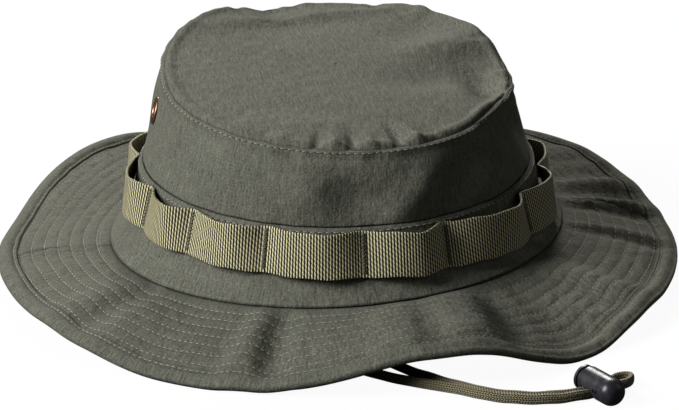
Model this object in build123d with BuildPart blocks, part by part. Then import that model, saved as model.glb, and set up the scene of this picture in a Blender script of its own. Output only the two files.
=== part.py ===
from build123d import *

import os
from math import cos, degrees, radians, sin, sqrt

# Boonie hat: a soft round field hat with a quilted brim, a loop band and a sliding chin cord.
#
# The hat stands on its brim. The origin is the centre of the head opening on the ground plane.
# The wearer faces -Y, +Z is up, and +X is the wearer's left. Angles round the hat are measured in
# degrees from the front (0), through +X (90), to the back (180). Everything is in millimetres.

# ---------------------------------------------------------------- driving dimensions
CLOTH = 0.6  # ripstop, one ply
GAP = 0.1  # air between plies that lie on each other

# Oval outlines, as half widths across X and along Y.
SEAM_OVAL = (102.0, 103.0)  # crown to brim
MIDDLE_OVAL = (86.6, 90.2)  # lower to upper side panel, just above the loop band
TIP_OVAL = (77.3, 81.0)  # side panel to the top piece

FLARE_OVAL = (95.6, 98.4)  # two levels between the brim and the middle seam
WAIST_OVAL = (91.6, 95.2)

# Planes of those levels: height on the axis, rise per 100 mm, and the angle it rises towards.
SEAM_TILT = (17.5, 4.9, 82.0)
MIDDLE_TILT = (51.4, 2.8, 150.0)
TIP_TILT = (89.3, 10.5, 183.0)
FLARE_TILT = (25.0, 3.0, 85.0)
WAIST_TILT = (33.0, 2.0, 97.0)
TIP_DOME = 5.0  # rise of the top piece above its seam
TIP_CLEARANCE = 0.3  # from the side panel's top to the top piece

# Brim: width from seam to edge, and height of the edge, as a base value plus rounded lobes.
# A lobe is (angle of its centre, how much it adds, half its width in degrees).
BRIM_WIDTH = 53.0
BRIM_WIDTH_LOBES = [(-90, -2.5, 40), (80, -1.5, 40)]
BRIM_EDGE = 8.0
BRIM_EDGE_LOBES = [
    (-32, -7.4, 31),
    (7, 8.5, 22),
    (34, -7.2, 17),
    (128, 11, 42),
    (180, -6.2, 35),
    (-143, 12, 32),
    (-108, -5, 22),
]
BRIM_INSIDE = 3.2  # how far the brim plies run inside the crown seam
INTERLINING = 0.8
BINDING_DEPTH = 9.0
SIDE_SEAM_GAP = 0.1  # degrees left open on each side of a brim side seam
STATION_STEP = 7.5  # degrees between the cross-sections of the brim

# Loop band: one webbing tape, tacked down at uneven spacing.
WEBBING = 1.3
WEBBING_HEIGHT = 19.0
WEBBING_TILT_LOW = (29.6, 0.6, 260.0)
WEBBING_STAND_OFF = 0.9  # from the side panel to the back of the band at a tack
TACK_ANGLES = [-73, -51, -27.5, -2, 20.5, 52.5, 77, 101.5, 127, 153, 179, 205, 231, 258.5]
LOOP_BULGE_LOW = 1.8  # how far a loop stands off at its lower edge
LOOP_BULGE_HIGH = 6.5  # and at its upper edge
TACK_SIZE = (1.6, 0.6, 16.0)
TACK_CLEARANCE = 0.55  # from the band's face to the back of a tack
TACK_FLAT = 3.0  # length of band held flat at each tack

# Sweatband, tape and label inside the crown.
SWEATBAND = 1.1
SWEATBAND_TOP = (85.4, 89.0)
TAPE = 0.5
LABEL_SIZE = (26.0, 14.0)

# Vents, one on each side of the upper side panel, a little behind the hat's middle.
VENT_ANGLES = (93.5, -93.5)
VENT_LEVEL = (73.0, 7.1, 177.0)
VENT_OVAL = (82.6, 87.2)
VENT_TILT = 15.5
VENT_FLANGE_R = 6.3
VENT_BARREL_R = 4.2
VENT_BORE_R = 3.7
VENT_PANEL_HOLE_R = 4.35
MESH_PITCH = 1.15
MESH_HOLE = 0.8

# Chin cord: a flat braid standing on its edge, tied to a becket on each side of the seam.
CORD_WIDTH = 4.6
CORD_THICK = 2.4
CORD_AXIS_Z = 2.6  # height of the cord's middle when it lies on the ground
CORD_SPACING = 2.8  # middle to middle of the two legs inside the lock
BECKET_X = 98.5
BECKET_DROP = 7.0  # lower bar, below the seam plane
BECKET_TOP = 2.8  # upper bar, below the seam plane
BECKET_HALF = 3.6  # half the length of the bars
BECKET_R = 0.8
EYE_INSIDE_R = 1.15
EYE_THICK = 2.0
ARC_CENTRE = (60.69, -125.03)  # the two legs run round this point near the lock
ARC_R = 46.0
ARC_START = -40.0
ARC_END = 34.0
LOCK_ANGLE = 24.0  # where the lock stands on the arc

# Cord lock: barrel, plunger and spring. Lengths run from the cord's middle towards the dome.
BARREL_R = 5.75
BARREL_MOUTH = -4.2
BARREL_DOME = 14.9
BARREL_BORE_R = 4.6
BARREL_BORE_END = 12.5
PLUNGER_R = 4.5
PLUNGER_HEAD_R = 5.3
PLUNGER_HEAD = 1.2
PLUNGER_FACE = -7.6
PLUNGER_END = 7.0
PLUNGER_TRAVEL = 2.0
SLOT_HEIGHT = 5.4
PINCH = CORD_SPACING / 2 + CORD_THICK / 2 + 0.1  # half the stack of two cords, with clearance
CORD_CURVE = 0.4  # extra room on the inside of the cord's curve
LUG_START = 5.2
LUG_SIZE = 1.0
LUG_WIDTH = 1.2
SPRING_WIRE_R = 0.35
SPRING_R = 3.4
SPRING_COILS = 3.5

os.makedirs("parts", exist_ok=True)


# ---------------------------------------------------------------- shared geometry
def finish(name: str, shape: Part) -> None:
    """Labels one finished piece and writes it."""
    shape.label = name
    export_step(shape, f"parts/{name}.step")


def outward(angle: float) -> Vector:
    """Horizontal unit vector pointing away from the axis at an angle round the hat."""
    return Vector(sin(radians(angle)), -cos(radians(angle)), 0)


def lobed(base: float, lobes: list, angle: float) -> float:
    """A base value with raised-cosine lobes added to it."""
    total = base
    for centre, amount, half_width in lobes:
        away = abs((angle - centre + 180) % 360 - 180)
        if away < half_width:
            total += amount * (0.5 + 0.5 * cos(radians(180 * away / half_width)))
    return total


def oval_radius(oval: tuple, angle: float) -> float:
    """Distance from the axis to an oval at an angle round the hat."""
    half_x, half_y = oval
    return half_x * half_y / sqrt((half_y * sin(radians(angle))) ** 2 + (half_x * cos(radians(angle))) ** 2)


def tilted(tilt: tuple, lift: float = 0.0) -> Plane:
    """A plane through (0, 0, height + lift) that rises towards the tilt's angle."""
    height, rise, towards = tilt
    slope = outward(towards) * (rise / 100)
    return Plane(origin=(0, 0, height + lift), x_dir=(1, 0, slope.X), z_dir=(-slope.X, -slope.Y, 1))


def height_on(tilt: tuple, angle: float, radius: float) -> float:
    """Height of a tilted plane above the ground at an angle and distance from the axis."""
    height, rise, towards = tilt
    return height + rise / 100 * radius * cos(radians(angle - towards))


def grown(oval: tuple, amount: float) -> tuple:
    """An oval with both half widths changed by the same amount."""
    return (oval[0] + amount, oval[1] + amount)


def ring(sections: list, thickness: float) -> None:
    """Lofts a hollow ring, inside the current BuildPart. A section is (plane, outer oval)."""
    faces = []
    for plane, oval in sections:
        with BuildSketch(plane) as section:
            Ellipse(*oval)
            Ellipse(*grown(oval, -thickness), mode=Mode.SUBTRACT)
        faces.append(section.sketch)
    loft(sections=faces)


# ---------------------------------------------------------------- crown
CROWN_CUT = 1.8  # from the seam plane up to the side panel's lower edge
RIM_OF_CROWN_TILT = (SEAM_TILT[0] + CROWN_CUT, *SEAM_TILT[1:])
TOP_OF_LOWER_TILT = (MIDDLE_TILT[0] - GAP, *MIDDLE_TILT[1:])
LOWER_LEVELS = [
    (RIM_OF_CROWN_TILT, SEAM_OVAL),
    (FLARE_TILT, FLARE_OVAL),
    (WAIST_TILT, WAIST_OVAL),
    (TOP_OF_LOWER_TILT, MIDDLE_OVAL),
]

with BuildPart() as crown_side_lower:
    ring([(tilted(tilt), oval) for tilt, oval in LOWER_LEVELS], CLOTH)

UPPER_SECTIONS = [
    (tilted(MIDDLE_TILT, GAP), MIDDLE_OVAL),
    (tilted(VENT_LEVEL), VENT_OVAL),
    (tilted(TIP_TILT), TIP_OVAL),
]


def vent_plane(angle: float) -> Plane:
    """A plane on the side panel's outer face at a vent, looking outwards along the vent's axis."""
    away = outward(angle)
    wall = oval_radius(VENT_OVAL, angle)
    height = height_on(VENT_LEVEL, angle, wall)
    axis = away * cos(radians(VENT_TILT)) + Vector(0, 0, sin(radians(VENT_TILT)))
    return Plane(origin=away * wall + Vector(0, 0, height), z_dir=axis)


vents = [vent_plane(angle) for angle in VENT_ANGLES]

with BuildPart() as crown_side_upper:
    ring(UPPER_SECTIONS, CLOTH)
    for plane in vents:
        with BuildSketch(plane.offset(-4)):
            Circle(VENT_PANEL_HOLE_R)
        extrude(amount=8, mode=Mode.SUBTRACT)

with BuildPart() as crown_tip:
    # A shallow dome: an arc swept round the axis, then stretched into the oval.
    half_width = TIP_OVAL[0]
    with BuildSketch(Plane.XZ):
        with BuildLine():
            under = ThreePointArc((-half_width, 0), (0, TIP_DOME), (half_width, 0))
            over = ThreePointArc((-half_width, CLOTH), (0, TIP_DOME + CLOTH), (half_width, CLOTH))
            Line(under @ 0, over @ 0)
            Line(under @ 1, over @ 1)
        make_face()
        with Locations((-half_width, 0)):
            Rectangle(2 * half_width, 4 * TIP_DOME, mode=Mode.SUBTRACT)
    revolve(axis=Axis.Z)
    scale(by=(1, TIP_OVAL[1] / TIP_OVAL[0], 1))

with BuildPart() as tip_seam_tape:
    ring(
        [
            (tilted(TIP_TILT, -10), grown(TIP_OVAL, 1.6)),
            (tilted(TIP_TILT, -1), grown(TIP_OVAL, -1.2)),
        ],
        TAPE,
    )

with BuildPart() as sweatband:
    ring(
        [
            (tilted(SEAM_TILT, -0.9), (98.2, 99.2)),
            (tilted(FLARE_TILT), grown(FLARE_OVAL, -2.2)),
            (tilted(WAIST_TILT), grown(WAIST_OVAL, -2.0)),
            (tilted(MIDDLE_TILT, -3), SWEATBAND_TOP),
        ],
        SWEATBAND,
    )

with BuildPart() as size_label:
    # A blank woven label on the sweatband's inner face at the back.
    label_sections = [
        (tilted(WAIST_TILT), grown(WAIST_OVAL, -3.9)),
        (tilted(MIDDLE_TILT, -3), grown(SWEATBAND_TOP, -1.7)),
    ]
    ring(label_sections, TAPE)
    with BuildSketch(Plane.XZ.offset(-70)):
        with Locations((0, 40)):
            Rectangle(LABEL_SIZE[0], LABEL_SIZE[1])
    extrude(amount=-40, mode=Mode.INTERSECT)


# ---------------------------------------------------------------- brim
def brim_frame(angle: float) -> tuple:
    """Inner point of the brim's middle layer, its length and its slope, in the plane at an angle."""
    inner = oval_radius(SEAM_OVAL, angle) - BRIM_INSIDE
    inner_z = height_on(SEAM_TILT, angle, inner)
    run = BRIM_INSIDE + lobed(BRIM_WIDTH, BRIM_WIDTH_LOBES, angle)
    fall = inner_z - lobed(BRIM_EDGE, BRIM_EDGE_LOBES, angle)
    return inner, inner_z, run, fall


def brim_sketch_plane(angle: float) -> Plane:
    """An upright plane through the axis whose X runs outwards and whose Y runs up."""
    away = outward(angle)
    return Plane(origin=(0, 0, 0), x_dir=away, z_dir=away.cross(Vector(0, 0, 1)))


def brim_section(angle: float, outline: list) -> Sketch:
    """One cross-section. The outline's points are (distance past the edge or None, height above it)."""
    inner, inner_z, run, fall = brim_frame(angle)
    length = sqrt(run**2 + fall**2)
    along = Vector(run, -fall) / length
    normal = Vector(fall, run) / length
    start = Vector(inner, inner_z)
    points = []
    for past_edge, above in outline:
        distance = 0 if past_edge is None else length + past_edge
        points.append(start + along * distance + normal * above)
    with BuildSketch(brim_sketch_plane(angle)) as section:
        with BuildLine():
            Polyline(*points, close=True)
        make_face()
    return section.sketch


def brim_piece(first: float, last: float, outline: list) -> None:
    """Lofts one cross-section outline along the brim, inside the current BuildPart."""
    first_step = round(first / STATION_STEP) + 1
    last_step = round(last / STATION_STEP)
    angles = [first]
    for step in range(first_step, last_step):
        angles.append(step * STATION_STEP)
    angles.append(last)
    loft(sections=[brim_section(angle, outline) for angle in angles])


def ply(low: float, thickness: float) -> list:
    """Outline of a flat ply that starts at the inner edge and ends at the rim."""
    return [(None, low), (0, low), (0, low + thickness), (None, low + thickness)]


FRONT_HALF = (-90 + SIDE_SEAM_GAP, 90 - SIDE_SEAM_GAP)
BACK_HALF = (90 + SIDE_SEAM_GAP, 270 - SIDE_SEAM_GAP)
ply_offset = INTERLINING / 2 + GAP
stack = ply_offset + CLOTH

with BuildPart() as brim_interlining:
    brim_piece(*FRONT_HALF, ply(-INTERLINING / 2, INTERLINING))
    brim_piece(*BACK_HALF, ply(-INTERLINING / 2, INTERLINING))

with BuildPart() as brim_top_front:
    brim_piece(*FRONT_HALF, ply(ply_offset, CLOTH))

with BuildPart() as brim_top_back:
    brim_piece(*BACK_HALF, ply(ply_offset, CLOTH))

with BuildPart() as brim_under_front:
    brim_piece(*FRONT_HALF, ply(-stack, CLOTH))

with BuildPart() as brim_under_back:
    brim_piece(*BACK_HALF, ply(-stack, CLOTH))

with BuildPart() as brim_binding:
    # A strip folded over the rim, in two lengths that meet at the side seams.
    inside = stack + GAP
    outside = inside + CLOTH
    rim = 0.2  # from the plies' edge to the fold
    fold = [(-BINDING_DEPTH, inside), (rim, inside), (rim, -inside), (-BINDING_DEPTH, -inside)]
    over = rim + CLOTH
    cover = [(-BINDING_DEPTH, -outside), (over, -outside), (over, outside), (-BINDING_DEPTH, outside)]
    brim_piece(*FRONT_HALF, fold + cover)
    brim_piece(*BACK_HALF, fold + cover)


# ---------------------------------------------------------------- loop band
def wall_radius(angle: float, height: float) -> float:
    """Distance from the axis to the lower side panel's outer face at an angle and a height."""
    levels = []
    for tilt, oval in LOWER_LEVELS:
        radius = oval_radius(oval, angle)
        levels.append((height_on(tilt, angle, radius), radius))
    for (low, low_radius), (high, high_radius) in zip(levels, levels[1:]):
        if height <= high:
            break
    share = (height - low) / (high - low)
    return low_radius + share * (high_radius - low_radius)


def tack_radius(angle: float, lift: float) -> float:
    """Distance from the axis to the back of the band at a tack, at a height above its lower edge."""
    height = height_on(WEBBING_TILT_LOW, angle, MIDDLE_OVAL[0]) + lift
    return wall_radius(angle, height) + WEBBING_STAND_OFF


def loop_outline(lift: float, bulge: float, extra: float) -> None:
    """The band seen from above: flat at each tack, and one arc standing off between two tacks."""
    flat = degrees(TACK_FLAT / MIDDLE_OVAL[0])
    following_tacks = TACK_ANGLES[1:] + [TACK_ANGLES[0] + 360]
    for tack, next_tack in zip(TACK_ANGLES, following_tacks):
        first = tack + flat / 2
        last = next_tack - flat / 2
        middle = (first + last) / 2
        near = outward(first) * (tack_radius(first, lift) + extra)
        far = outward(last) * (tack_radius(last, lift) + extra)
        top = outward(middle) * (tack_radius(middle, lift) + bulge + extra)
        ThreePointArc(near, top, far)
        following = last + flat
        Line(far, outward(following) * (tack_radius(following, lift) + extra))


with BuildPart() as webbing_band:
    for lift, bulge in ((0, LOOP_BULGE_LOW), (WEBBING_HEIGHT, LOOP_BULGE_HIGH)):
        with BuildSketch(tilted(WEBBING_TILT_LOW, lift)):
            with BuildLine():
                loop_outline(lift, bulge, WEBBING)
            make_face()
            with BuildLine():
                loop_outline(lift, bulge, 0)
            make_face(mode=Mode.SUBTRACT)
    loft()

with BuildPart() as bar_tacks:
    # One upright block of thread on the band at each tack.
    tack_x, tack_y, tack_z = TACK_SIZE
    for angle in TACK_ANGLES:
        away = outward(angle)
        low = tack_radius(angle, 0)
        high = tack_radius(angle, WEBBING_HEIGHT)
        foot = height_on(WEBBING_TILT_LOW, angle, MIDDLE_OVAL[0]) + WEBBING_HEIGHT / 2
        face = away * WEBBING_HEIGHT + Vector(0, 0, low - high)
        middle = away * ((low + high) / 2 + WEBBING + TACK_CLEARANCE) + Vector(0, 0, foot)
        with BuildSketch(Plane(origin=middle, x_dir=outward(angle + 90), z_dir=face)):
            Rectangle(tack_x, tack_z)
        extrude(amount=tack_y)


# ---------------------------------------------------------------- vents
with BuildPart() as vent_eyelets:
    for plane in vents:
        with BuildSketch(plane.offset(0.2)):
            Circle(VENT_FLANGE_R)
            Circle(VENT_BORE_R, mode=Mode.SUBTRACT)
        extrude(amount=0.5)
        with BuildSketch(plane.offset(-2.0)):
            Circle(VENT_BARREL_R)
            Circle(VENT_BORE_R, mode=Mode.SUBTRACT)
        extrude(amount=2.3)

with BuildPart() as vent_washers:
    for plane in vents:
        with BuildSketch(plane.offset(-1.7)):
            Circle(VENT_FLANGE_R)
            Circle(VENT_BARREL_R + 0.05, mode=Mode.SUBTRACT)
        extrude(amount=0.5)

with BuildPart() as vent_screens:
    for plane in vents:
        with BuildSketch(plane.offset(-2.4)):
            Circle(VENT_BARREL_R)
            with GridLocations(MESH_PITCH, MESH_PITCH, 5, 5):
                Rectangle(MESH_HOLE, MESH_HOLE, mode=Mode.SUBTRACT)
        extrude(amount=0.3)


# ---------------------------------------------------------------- chin cord
seam_plane = tilted(SEAM_TILT)
becket_axis = seam_plane.x_dir
arc_centre = Vector(*ARC_CENTRE, CORD_AXIS_Z)


def becket_point(side: int) -> Vector:
    """Middle of the becket's bar on one side, -1 or +1."""
    return seam_plane.from_local_coords(Vector(side * BECKET_X, 0, -BECKET_DROP))


def on_arc(radius: float, angle: float) -> Vector:
    """A point on the horizontal arc that the cord follows near the lock."""
    return arc_centre + outward(angle) * radius


def becket(side: int) -> None:
    """A corded loop sewn up under the sweatband seam, with a level lower bar for the cord's eye."""
    rise = BECKET_DROP - BECKET_TOP
    upright = Plane(origin=becket_point(side), x_dir=becket_axis, z_dir=(0, -1, 0))
    with BuildSketch(upright) as outline:
        with Locations((0, rise / 2)):
            RectangleRounded(2 * BECKET_HALF, rise, 1.0)
    path = outline.sketch.face().outer_wire()
    with BuildSketch(Plane(origin=path @ 0, z_dir=path % 0)) as thread:
        Circle(BECKET_R)
    sweep(thread.sketch, path=path)


with BuildPart() as cord_beckets:
    becket(-1)
    becket(1)


def cord_station(point: Vector, direction: Vector, wide: Vector) -> Sketch:
    """One cross-section of the cord, with its wide side along a given direction."""
    with BuildSketch(Plane(origin=point, x_dir=wide, z_dir=direction)) as section:
        Ellipse(CORD_WIDTH / 2, CORD_THICK / 2)
    return section.sketch


def cord_leg(side: int, radius: float, waypoints: list) -> None:
    """A leg from the eye on one becket, down to the ground and along it to the start of the arc."""
    down = seam_plane.z_dir * -1
    start = becket_point(side) + down * (EYE_INSIDE_R + EYE_THICK / 2 + 0.2) + Vector(0, 0.6, 0)
    with BuildLine() as course:
        Spline(
            start,
            *[Vector(*point) for point in waypoints],
            on_arc(radius, ARC_START),
            tangents=[Vector(0, -1, 0), outward(ARC_START + 90)],
        )
    path = course.edge()
    stations = 24
    faces = []
    upright = Vector(0, 0, 1)
    for i in range(stations + 1):
        share = i / stations
        direction = path % share
        turn = min(1.0, share / 0.3)
        wide = becket_axis * (1 - turn) + upright * turn
        wide = wide - direction * wide.dot(direction)
        faces.append(cord_station(path @ share, direction, wide))
    loft(sections=faces)


def cord_eye(side: int) -> None:
    """The cord's end folded round the becket's bar and sewn to itself."""
    eye = becket_point(side)
    with BuildSketch(Plane(origin=eye - becket_axis * (CORD_WIDTH / 2 - 0.3), z_dir=becket_axis)) as fold:
        Circle(EYE_INSIDE_R + EYE_THICK)
        Circle(EYE_INSIDE_R, mode=Mode.SUBTRACT)
    extrude(fold.sketch, amount=CORD_WIDTH - 0.6)


RIGHT_WAY = [
    (-97.4, -8, 3.1),
    (-94.5, -18, 2.8),
    (-83, -42, CORD_AXIS_Z),
    (-54, -83, CORD_AXIS_Z),
    (-22, -119, CORD_AXIS_Z),
    (5, -145, CORD_AXIS_Z),
]
LEFT_WAY = [
    (98, -5, 12.2),
    (95, -13, 9.4),
    (85, -28, 4.2),
    (66, -42, CORD_AXIS_Z),
    (22, -65, CORD_AXIS_Z),
    (-4, -106, CORD_AXIS_Z),
    (10, -137, CORD_AXIS_Z),
]

with BuildPart() as chin_cord:
    cord_eye(-1)
    cord_leg(-1, ARC_R + CORD_SPACING / 2, RIGHT_WAY)
    cord_eye(1)
    cord_leg(1, ARC_R - CORD_SPACING / 2, LEFT_WAY)
    upright = Axis(arc_centre, (0, 0, 1))
    for radius in (ARC_R - CORD_SPACING / 2, ARC_R + CORD_SPACING / 2):
        # The part of the cord that the lock slides along is a true circular arc.
        cord_start = Plane(origin=on_arc(radius, ARC_START), x_dir=(0, 0, 1), z_dir=outward(ARC_START + 90))
        with BuildSketch(cord_start):
            Ellipse(CORD_WIDTH / 2, CORD_THICK / 2)
        revolve(axis=upright, revolution_arc=ARC_END - ARC_START)
    # The bight: both legs open into a small drop-shaped loop beyond the lock.
    forward = outward(ARC_END + 90)
    sideways = outward(ARC_END)
    neck_in = on_arc(ARC_R - CORD_SPACING / 2, ARC_END)
    neck_out = on_arc(ARC_R + CORD_SPACING / 2, ARC_END)
    middle = (neck_in + neck_out) / 2
    with BuildLine() as bight:
        Spline(
            neck_in,
            middle + forward * 7 - sideways * 3.2,
            middle + forward * 12.5,
            middle + forward * 7 + sideways * 3.2,
            neck_out,
            tangents=[forward, -forward],
        )
    with BuildSketch(Plane(origin=neck_in, x_dir=(0, 0, 1), z_dir=forward)):
        Ellipse(CORD_WIDTH / 2, CORD_THICK / 2)
    sweep(path=bight.line)


# ---------------------------------------------------------------- cord lock
lock_axis = outward(LOCK_ANGLE)
lock_middle = Vector(*ARC_CENTRE, BARREL_R) + lock_axis * ARC_R
along_cord = outward(LOCK_ANGLE + 90)


def lock_plane(distance: float) -> Plane:
    """A plane across the barrel at a distance from the cord's middle. Its X runs along the cord."""
    return Plane(origin=lock_middle + lock_axis * distance, x_dir=along_cord, z_dir=lock_axis)


def slot_plane() -> Plane:
    """A plane along the barrel's axis, facing along the cord, level with the cord's middle."""
    origin = Vector(lock_middle.X, lock_middle.Y, CORD_AXIS_Z)
    return Plane(origin=origin, x_dir=lock_axis, z_dir=along_cord)


def cut_slot(start: float, end: float) -> None:
    """Cuts the cord's passage right through, from one distance along the barrel to another."""
    with BuildSketch(slot_plane()) as slot:
        with Locations(((start + end) / 2, 0)):
            RectangleRounded(end - start, SLOT_HEIGHT, 1.0)
    extrude(slot.sketch, amount=2 * BARREL_R, both=True, mode=Mode.SUBTRACT)


with BuildPart() as cord_lock_barrel:
    with BuildSketch(lock_plane(BARREL_MOUTH)):
        Circle(BARREL_R)
    extrude(amount=BARREL_DOME - BARREL_MOUTH)
    fillet(edges().filter_by(GeomType.CIRCLE).sort_by(Axis(lock_middle, lock_axis))[-1], radius=4.6)
    with BuildSketch(lock_plane(BARREL_MOUTH)):
        Circle(BARREL_BORE_R)
    extrude(amount=BARREL_BORE_END - BARREL_MOUTH, mode=Mode.SUBTRACT)
    cut_slot(-PINCH - CORD_CURVE, PINCH + PLUNGER_TRAVEL)
    # Windows that hold the plunger's lugs.
    window = LUG_SIZE + PLUNGER_TRAVEL + 0.3
    with BuildSketch(lock_plane(LUG_START - 0.1)):
        Rectangle(3 * BARREL_R, LUG_WIDTH + 0.4)
    extrude(amount=window, mode=Mode.SUBTRACT)

with BuildPart() as cord_lock_plunger:
    with BuildSketch(lock_plane(PLUNGER_FACE)):
        Circle(PLUNGER_HEAD_R)
    extrude(amount=PLUNGER_HEAD)
    with BuildSketch(lock_plane(PLUNGER_FACE)):
        Circle(PLUNGER_R)
    extrude(amount=PLUNGER_END - PLUNGER_FACE)
    with BuildSketch(lock_plane(LUG_START)):
        Rectangle(2 * (PLUNGER_R + 0.6), LUG_WIDTH)
    extrude(amount=LUG_SIZE)
    cut_slot(-PINCH - CORD_CURVE - PLUNGER_TRAVEL, PINCH)

with BuildPart() as cord_lock_spring:
    spring_start = PLUNGER_END + SPRING_WIRE_R + 0.05
    spring_length = BARREL_BORE_END - PLUNGER_END - 2 * SPRING_WIRE_R - 0.1
    coil_plane = lock_plane(spring_start)
    with BuildLine() as coil:
        Helix(
            pitch=spring_length / SPRING_COILS,
            height=spring_length,
            radius=SPRING_R,
            center=coil_plane.origin,
            direction=lock_axis,
        )
    with BuildSketch(Plane(origin=coil.line @ 0, z_dir=coil.line % 0)):
        Circle(SPRING_WIRE_R)
    sweep(path=coil.line, is_frenet=True)


# ---------------------------------------------------------------- output
finish("crown_tip", tilted(TIP_TILT, TIP_CLEARANCE).location * crown_tip.part)
finish("crown_side_upper", crown_side_upper.part)
finish("crown_side_lower", crown_side_lower.part)
finish("tip_seam_tape", tip_seam_tape.part)
finish("sweatband", sweatband.part)
finish("size_label", size_label.part)
finish("brim_interlining", brim_interlining.part)
finish("brim_top_front", brim_top_front.part)
finish("brim_top_back", brim_top_back.part)
finish("brim_under_front", brim_under_front.part)
finish("brim_under_back", brim_under_back.part)
finish("brim_binding", brim_binding.part)
finish("webbing_band", webbing_band.part)
finish("bar_tacks", bar_tacks.part)
finish("vent_eyelets", vent_eyelets.part)
finish("vent_washers", vent_washers.part)
finish("vent_screens", vent_screens.part)
finish("cord_beckets", cord_beckets.part)
finish("chin_cord", chin_cord.part)
finish("cord_lock_barrel", cord_lock_barrel.part)
finish("cord_lock_plunger", cord_lock_plunger.part)
finish("cord_lock_spring", cord_lock_spring.part)
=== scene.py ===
from math import cos, pi, radians, sin

import bmesh
import bpy
import numpy as np
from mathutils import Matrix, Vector


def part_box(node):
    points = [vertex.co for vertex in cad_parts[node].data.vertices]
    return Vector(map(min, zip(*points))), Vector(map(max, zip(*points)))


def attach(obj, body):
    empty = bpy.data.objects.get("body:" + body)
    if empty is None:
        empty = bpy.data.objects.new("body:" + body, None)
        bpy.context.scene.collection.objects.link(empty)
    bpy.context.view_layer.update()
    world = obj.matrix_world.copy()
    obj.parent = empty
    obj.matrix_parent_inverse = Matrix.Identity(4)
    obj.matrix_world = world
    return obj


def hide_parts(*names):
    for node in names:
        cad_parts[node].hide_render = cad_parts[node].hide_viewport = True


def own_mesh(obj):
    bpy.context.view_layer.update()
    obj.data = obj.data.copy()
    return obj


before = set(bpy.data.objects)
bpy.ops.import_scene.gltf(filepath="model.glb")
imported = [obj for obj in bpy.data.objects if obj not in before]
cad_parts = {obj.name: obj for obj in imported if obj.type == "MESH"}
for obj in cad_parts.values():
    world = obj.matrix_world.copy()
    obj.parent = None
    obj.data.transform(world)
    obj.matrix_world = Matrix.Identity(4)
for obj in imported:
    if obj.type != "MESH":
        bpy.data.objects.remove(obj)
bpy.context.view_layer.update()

# Looks of the boonie hat: cloth, stitching, webbing, cord and lock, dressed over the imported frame.
# Lengths are millimetres unless a name says otherwise, and MM turns them into metres.
# Angles round the hat are degrees from the front (-Y), through +X, to the back.
MM = 0.001

# ---------------------------------------------------------------- the hat's shape, as in the frame
CLOTH = 0.6
SEAM_OVAL = (102.0, 103.0)
FLARE_OVAL = (95.6, 98.4)
WAIST_OVAL = (91.6, 95.2)
MIDDLE_OVAL = (86.6, 90.2)
SIDE_OVAL = (80.2, 86.6)  # the cloth between the two seams
TIP_OVAL = (77.3, 81.0)

# Tilted planes: height on the axis, rise per 100 mm, and the angle it rises towards.
SEAM_TILT = (17.5, 4.9, 82.0)
CROWN_EDGE_TILT = (19.3, 4.9, 82.0)
FLARE_TILT = (25.0, 3.0, 85.0)
WAIST_TILT = (33.0, 2.0, 97.0)
MIDDLE_TILT = (51.4, 2.8, 150.0)
VENT_LEVEL = (73.0, 7.1, 177.0)
VENT_SHARE = 0.55  # of the way up the upper panel
TIP_TILT = (89.3, 10.5, 183.0)
TIP_DOME = 4.5
TIP_SEAM_LOBES = [
    (-126, 6, 34),
    (-148, 3.5, 22),
    (-96, 2, 25),
    (-166, -2.5, 14),
    (128, 4.2, 34),
    (112, 2.5, 18),
    (150, 1.5, 20),
    (88, -2, 20),
]

BRIM_WIDTH = 53.0
BRIM_WIDTH_LOBES = [(-90, -2.5, 40), (80, -1.5, 40)]
BRIM_EDGE = 8.0
BRIM_EDGE_LOBES = [
    (-32, -7.4, 31),
    (7, 8.5, 22),
    (34, -7.2, 17),
    (128, 11, 42),
    (180, -6.2, 35),
    (-143, 12, 32),
    (-108, -5, 22),
]
BRIM_LIFT = 1.0  # top cloth above the middle of the brim
BRIM_STACK = 2.2

WEBBING = 1.2
WEBBING_HEIGHT = 19.0
WEBBING_TILT_LOW = (29.6, 0.6, 260.0)
WEBBING_STAND_OFF = 0.9
TACK_ANGLES = [-73, -51, -27.5, -2, 20.5, 52.5, 77, 101.5, 127, 153, 179, 205, 231, 258.5]
LOOP_BULGE_LOW = 1.8
LOOP_BULGE_HIGH = 7.0
TACK_FLAT = 2.6


def lobed(base, lobes, angle):
    """A base value with raised-cosine lobes added to it, for an array of angles."""
    total = np.full(np.shape(angle), float(base))
    for centre, amount, half_width in lobes:
        away = np.abs((angle - centre + 180) % 360 - 180)
        total += np.where(away < half_width, amount * (0.5 + 0.5 * np.cos(np.pi * away / half_width)), 0)
    return total


def hill(distance, half_width):
    """1 at distance 0, falling smoothly to 0 at the half width."""
    near = np.clip(np.abs(distance) / half_width, 0, 1)
    return 0.5 + 0.5 * np.cos(np.pi * near)


def turn(angle, centre):
    """Signed difference of two angles, between -180 and 180."""
    return (angle - centre + 180) % 360 - 180


def oval_radius(half_x, half_y, angle):
    s = np.sin(np.radians(angle))
    c = np.cos(np.radians(angle))
    return half_x * half_y / np.sqrt((half_y * s) ** 2 + (half_x * c) ** 2)


def slopes(tilt):
    """Rise of a tilted plane per millimetre of X and of Y."""
    _, rise, towards = tilt
    return rise / 100 * sin(radians(towards)), -rise / 100 * cos(radians(towards))


def place(angle, radius, height):
    """Points at an angle, a distance from the axis and a height."""
    a = np.radians(angle)
    return np.stack([radius * np.sin(a), -radius * np.cos(a), height + 0 * a], axis=-1)


def height_on(tilt, angle, radius):
    along_x, along_y = slopes(tilt)
    a = np.radians(angle)
    return tilt[0] + along_x * radius * np.sin(a) - along_y * radius * np.cos(a)


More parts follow.
